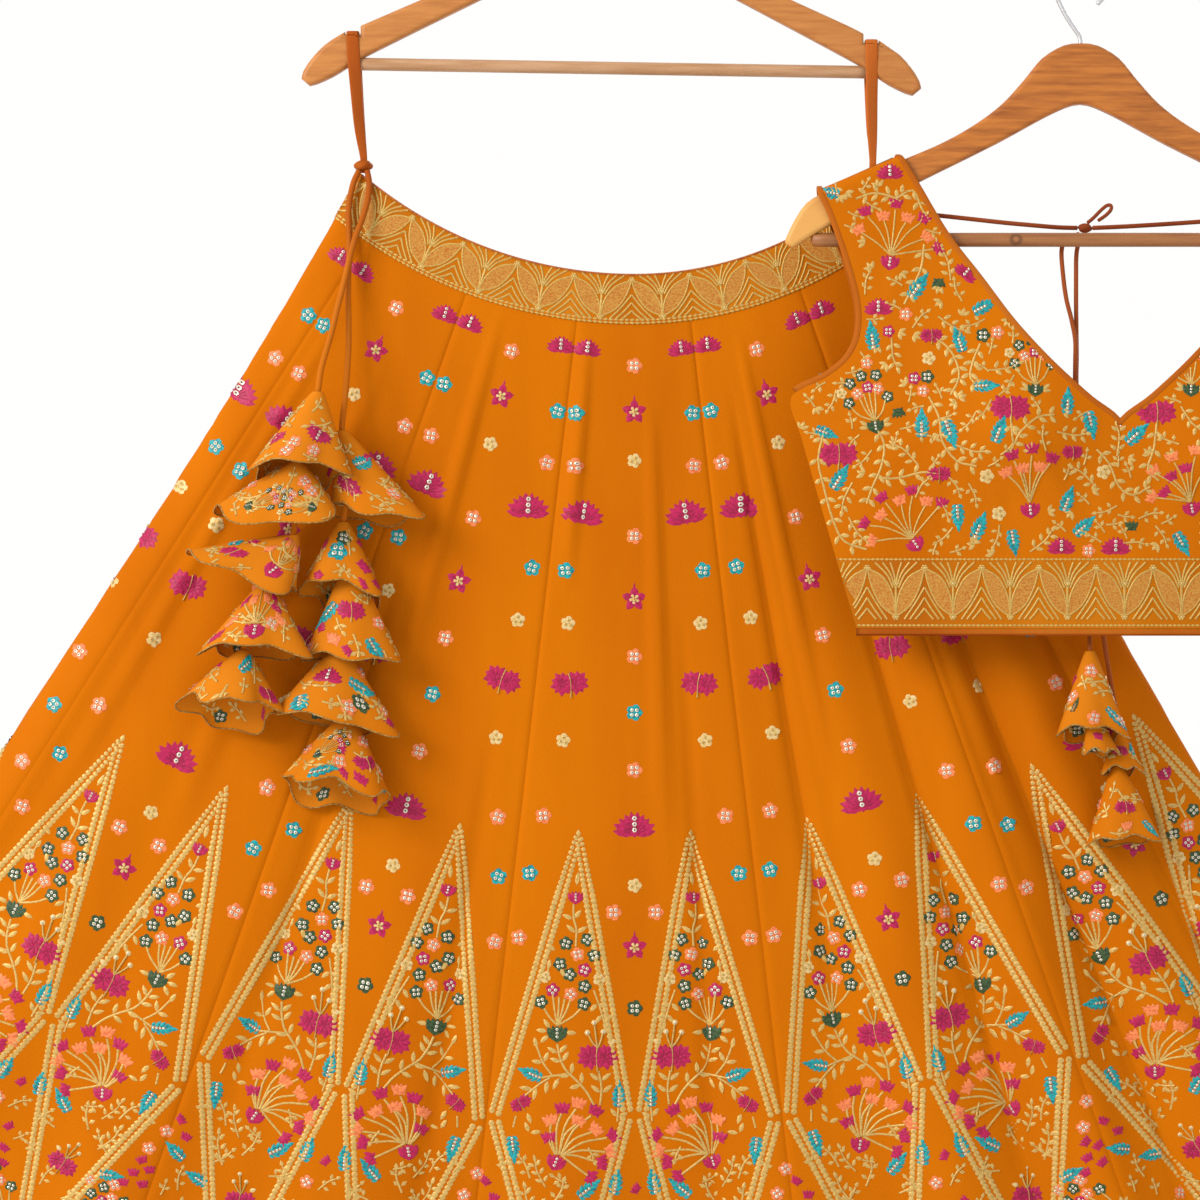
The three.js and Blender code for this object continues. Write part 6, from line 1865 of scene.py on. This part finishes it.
def add_hanger_arms(prefix, hanger, material):
    """Arms with rounded edges: the outline filled, thickened and bevelled as a curve."""
    right = np.array(hanger["outline"], float)
    left = right[1:-1][::-1] * np.array([-1, 1])
    outline = np.vstack([right, left])
    sharp = hanger.get("sharp", ())
    looped = np.vstack([outline[-1:], outline, outline[:2]])
    dense = []
    for i in range(1, len(outline) + 1):
        start, end = looped[i], looped[i + 1]
        steps = max(int(np.linalg.norm(end - start) / 5), 1)
        is_sharp = any(abs(abs(start[0]) - x) < 12 and start[1] > z for x, z in sharp)
        slope = (end - looped[i - 1]) / 2
        next_slope = (looped[i + 2] - start) / 2 if i + 2 < len(looped) else (end - start)
        size = np.linalg.norm(end - start)
        slope = shortened(slope, size)
        next_slope = shortened(next_slope, size)
        for step in range(steps):
            part = step / steps
            if is_sharp:
                dense.append(start + (end - start) * part)
            else:
                square = part * part
                cube = square * part
                dense.append(start * (2 * cube - 3 * square + 1) + slope * (cube - 2 * square + part)
                             + end * (3 * square - 2 * cube) + next_slope * (cube - square))
    curve = bpy.data.curves.new(f"{prefix}_outline", "CURVE")
    curve.dimensions = "2D"
    curve.fill_mode = "BOTH"
    bevel = 3.2
    curve.extrude = (WOOD_THICKNESS / 2 - bevel) * MM
    curve.bevel_depth = bevel * MM
    curve.bevel_resolution = 4
    curve.offset = -bevel * MM
    spline = curve.splines.new("POLY")
    spline.points.add(len(dense) - 1)
    for point, (x, z) in zip(spline.points, dense):
        point.co = (x * MM, z * MM, 0, 1)
    spline.use_cyclic_u = True
    holder = bpy.data.objects.new(f"{prefix}_outline", curve)
    bpy.context.scene.collection.objects.link(holder)
    mesh = bpy.data.meshes.new_from_object(holder.evaluated_get(bpy.context.evaluated_depsgraph_get()))
    bpy.data.objects.remove(holder)
    bpy.data.curves.remove(curve)
    flat = np.zeros(len(mesh.vertices) * 3)
    mesh.vertices.foreach_get("co", flat)
    flat = flat.reshape(-1, 3) / MM
    faces = [tuple(polygon.vertices) for polygon in mesh.polygons]
    bpy.data.meshes.remove(mesh)
    places = hanger_places(hanger, np.stack([flat[:, 0], -flat[:, 2], flat[:, 1]], axis=-1))
    piece = make_mesh(f"{prefix}_wood", places, faces, material)
    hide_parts(f"{prefix}_arms")


def add_hanger(prefix, hanger, hook_top, wood, bar_wood, wire):
    add_hanger_arms(prefix, hanger, wood)
    bar_x = np.linspace(-hanger["bar_half"], hanger["bar_half"], 9)
    bar = hanger_places(hanger, [(x, 0, hanger["bar_z"]) for x in bar_x])
    piece, _ = add_tube(f"{prefix}_rod", bar, 2 * hanger["bar_radius"], bar_wood, sides=28)
    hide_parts(f"{prefix}_bar")
    stem = hanger["hump"] - HOOK["stem_in"]
    middle = hook_top + HOOK["wire"] / 2 - HOOK["radius"]
    route = [(0, 0, stem), (0, 0, stem + 6), (0, 0, stem + 16), (-4, 0, middle - 31.92),
             (-10.5, 0, middle - 21.85)]
    for turn in np.arange(205, -50.1, -12.75):
        turned = math.radians(turn)
        route.append((HOOK["radius"] * math.cos(turned), 0, middle + HOOK["radius"] * math.sin(turned)))
    piece, _ = add_tube(f"{prefix}_wire", hanger_places(hanger, route), HOOK["wire"], wire,
                        sides=14)
    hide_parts(f"{prefix}_hook")


# Light and floor

def add_light(name, place, target, size, power, colour=(1, 1, 1)):
    data = bpy.data.lights.new(name, "AREA")
    data.shape = "SQUARE"
    data.size = size
    data.energy = power
    data.color = colour
    light = bpy.data.objects.new(name, data)
    light.location = place
    light.rotation_euler = (Vector(target) - Vector(place)).to_track_quat("-Z", "Y").to_euler()
    bpy.context.scene.collection.objects.link(light)


def add_studio():
    world = bpy.data.worlds.new("studio")
    world.use_nodes = True
    background = world.node_tree.nodes["Background"]
    background.inputs["Color"].default_value = (1.0, 0.995, 0.985, 1)
    background.inputs["Strength"].default_value = WORLD_STRENGTH
    bpy.context.scene.world = world
    bpy.context.scene.view_settings.view_transform = "Standard"
    add_light("key", (-2.6, -2.2, 0.9), (0, 0, -0.65), 1.6, KEY_POWER, (1.0, 0.985, 0.96))
    add_light("back", (1.6, 2.8, 0.6), (0, 0, -0.7), 1.6, KEY_POWER * 0.4)
    floor_z = cad_box[0][2] - FLOOR_GAP
    mesh = bpy.data.meshes.new("floor")
    reach = 6.0
    mesh.from_pydata([(-reach, -reach, floor_z), (reach, -reach, floor_z), (reach, reach, floor_z),
                      (-reach, reach, floor_z)], [], [(0, 1, 2, 3)])
    floor = bpy.data.objects.new("floor", mesh)
    pale_floor = new_material("floor_paint", (0.98, 0.97, 0.95), 0.8)
    speckle = stretched_noise(pale_floor, (1, 1, 1), 3.0, 2.0)
    tones = ramp(pale_floor, speckle, "Fac", [(0.3, (0.98, 0.97, 0.95)), (0.7, (1.0, 0.99, 0.97))])
    join(pale_floor, tones, "Color", pale_floor.node_tree.nodes["Principled BSDF"], "Base Color")
    mesh.materials.append(pale_floor)
    bpy.context.scene.collection.objects.link(floor)


def make_threads():
    threads = {}
    for key, (name, base, deep, roughness, metallic, sheen, scale) in THREADS.items():
        threads[key] = thread_material(name, COLOURS[base], COLOURS[deep], roughness, metallic, sheen,
                                       scale)
    return threads


def main():
    add_camera()
    cloths = {}
    for name, (base, light, deep, roughness) in CLOTHS.items():
        cloths[name] = cloth_material(name, COLOURS[base], COLOURS[light], COLOURS[deep], roughness)
    cords = {}
    for name, route, diameter, cloth, node_name in (
            ("drawstring_a", DORI_A, DORI_DIAMETER, "cord_cloth", "dori_a"),
            ("drawstring_b", DORI_B, DORI_DIAMETER, "cord_cloth", "dori_b"),
            ("tie_end_a", TIE_END_A, TIE_DIAMETER, "tie_end_cloth", "choli_tie_end_a"),
            ("tie_end_b", TIE_END_B, TIE_DIAMETER, "tie_end_cloth", "choli_tie_end_b")):
        piece, line = add_tube(name, route, diameter, cloths[cloth])
        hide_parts(node_name)
        cords[name] = {"piece": piece, "line": line, "diameter": diameter, "tassels": []}

    threads = make_threads()
    for number in range(1, GORES["count"] + 1):
        add_gore(number, cloths["skirt_cloth"])
    for side in ("front", "back"):
        add_waistband(side, cloths["band_cloth"])
    add_tape_loop("loop_left", LOOP_LEFT, cloths["tape_cloth"])
    add_tape_loop("loop_right", LOOP_RIGHT, cloths["tape_cloth"])
    add_ball("drawstring_knot", KNOT, cloths["cord_cloth"], 4, "dori_knot")

    for tassels, chain_name in ((SKIRT_TASSELS, "drawstring"), (CHOLI_TASSELS, "tie_end")):
        for tassel in tassels:
            cord = cords[f"{chain_name}_{'a' if '_a' in tassel['name'] else 'b'}"]
            cord["tassels"].extend(add_tassel(tassel, cord["diameter"],
                                              cloths["tassel_cloth"], threads["gold_deep"]))

    panels = add_panels("", 0, BAND_ROW, cloths["choli_cloth"])
    bands = add_panels("band_", BAND_ROW, HEM_ROW, cloths["band_cloth"])
    add_bindings(cloths["piping"], cloths["hem_piping_and_shade"])
    for name, route, diameter, node_name in (
            ("neck_tie_left", TIE_LEFT, TIE_DIAMETER, "choli_tie_left"),
            ("neck_tie_right", TIE_RIGHT, TIE_DIAMETER, "choli_tie_right"),
            ("neck_tie_bow", TIE_BOW, TIE_BOW_DIAMETER, "choli_tie_bow")):
        piece, _ = add_tube(name, route, diameter, cloths["tie_cloth"])
        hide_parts(node_name)
    add_ball("neck_tie_knot", TIE_KNOT, cloths["tie_cloth"], 3, "choli_tie_knot")

    pale = wood_material("wood_pale", COLOURS["wood_pale"], COLOURS["wood_pale_dark"])
    brown = wood_material("wood_brown", COLOURS["wood_brown"], COLOURS["wood_brown_dark"], ARM_KNOTS)
    bar_wood = wood_material("wood_bar", COLOURS["bar"], COLOURS["bar_dark"])
    brown_bar = wood_material("wood_bar_brown", COLOURS["bar_brown"], COLOURS["bar_brown_dark"],
                              BAR_KNOTS)
    wire = new_material("wire", (0.78, 0.78, 0.79), 0.3, 1.0)
    scratches = stretched_noise(wire, (1, 1, 8), 900.0)
    add_bump(wire, scratches, "Fac", 0.0002, 0.4)
    add_hanger("hanger_skirt", SKIRT_HANGER, 0.0, pale, bar_wood, wire)
    add_hanger("hanger_choli", CHOLI_HANGER, -128.0, brown, brown_bar, wire)

    add_skirt_work(threads)
    add_waistband_work(threads)
    add_tassel_work(threads)
    add_choli_work(panels, bands, threads)
    add_studio()


main()
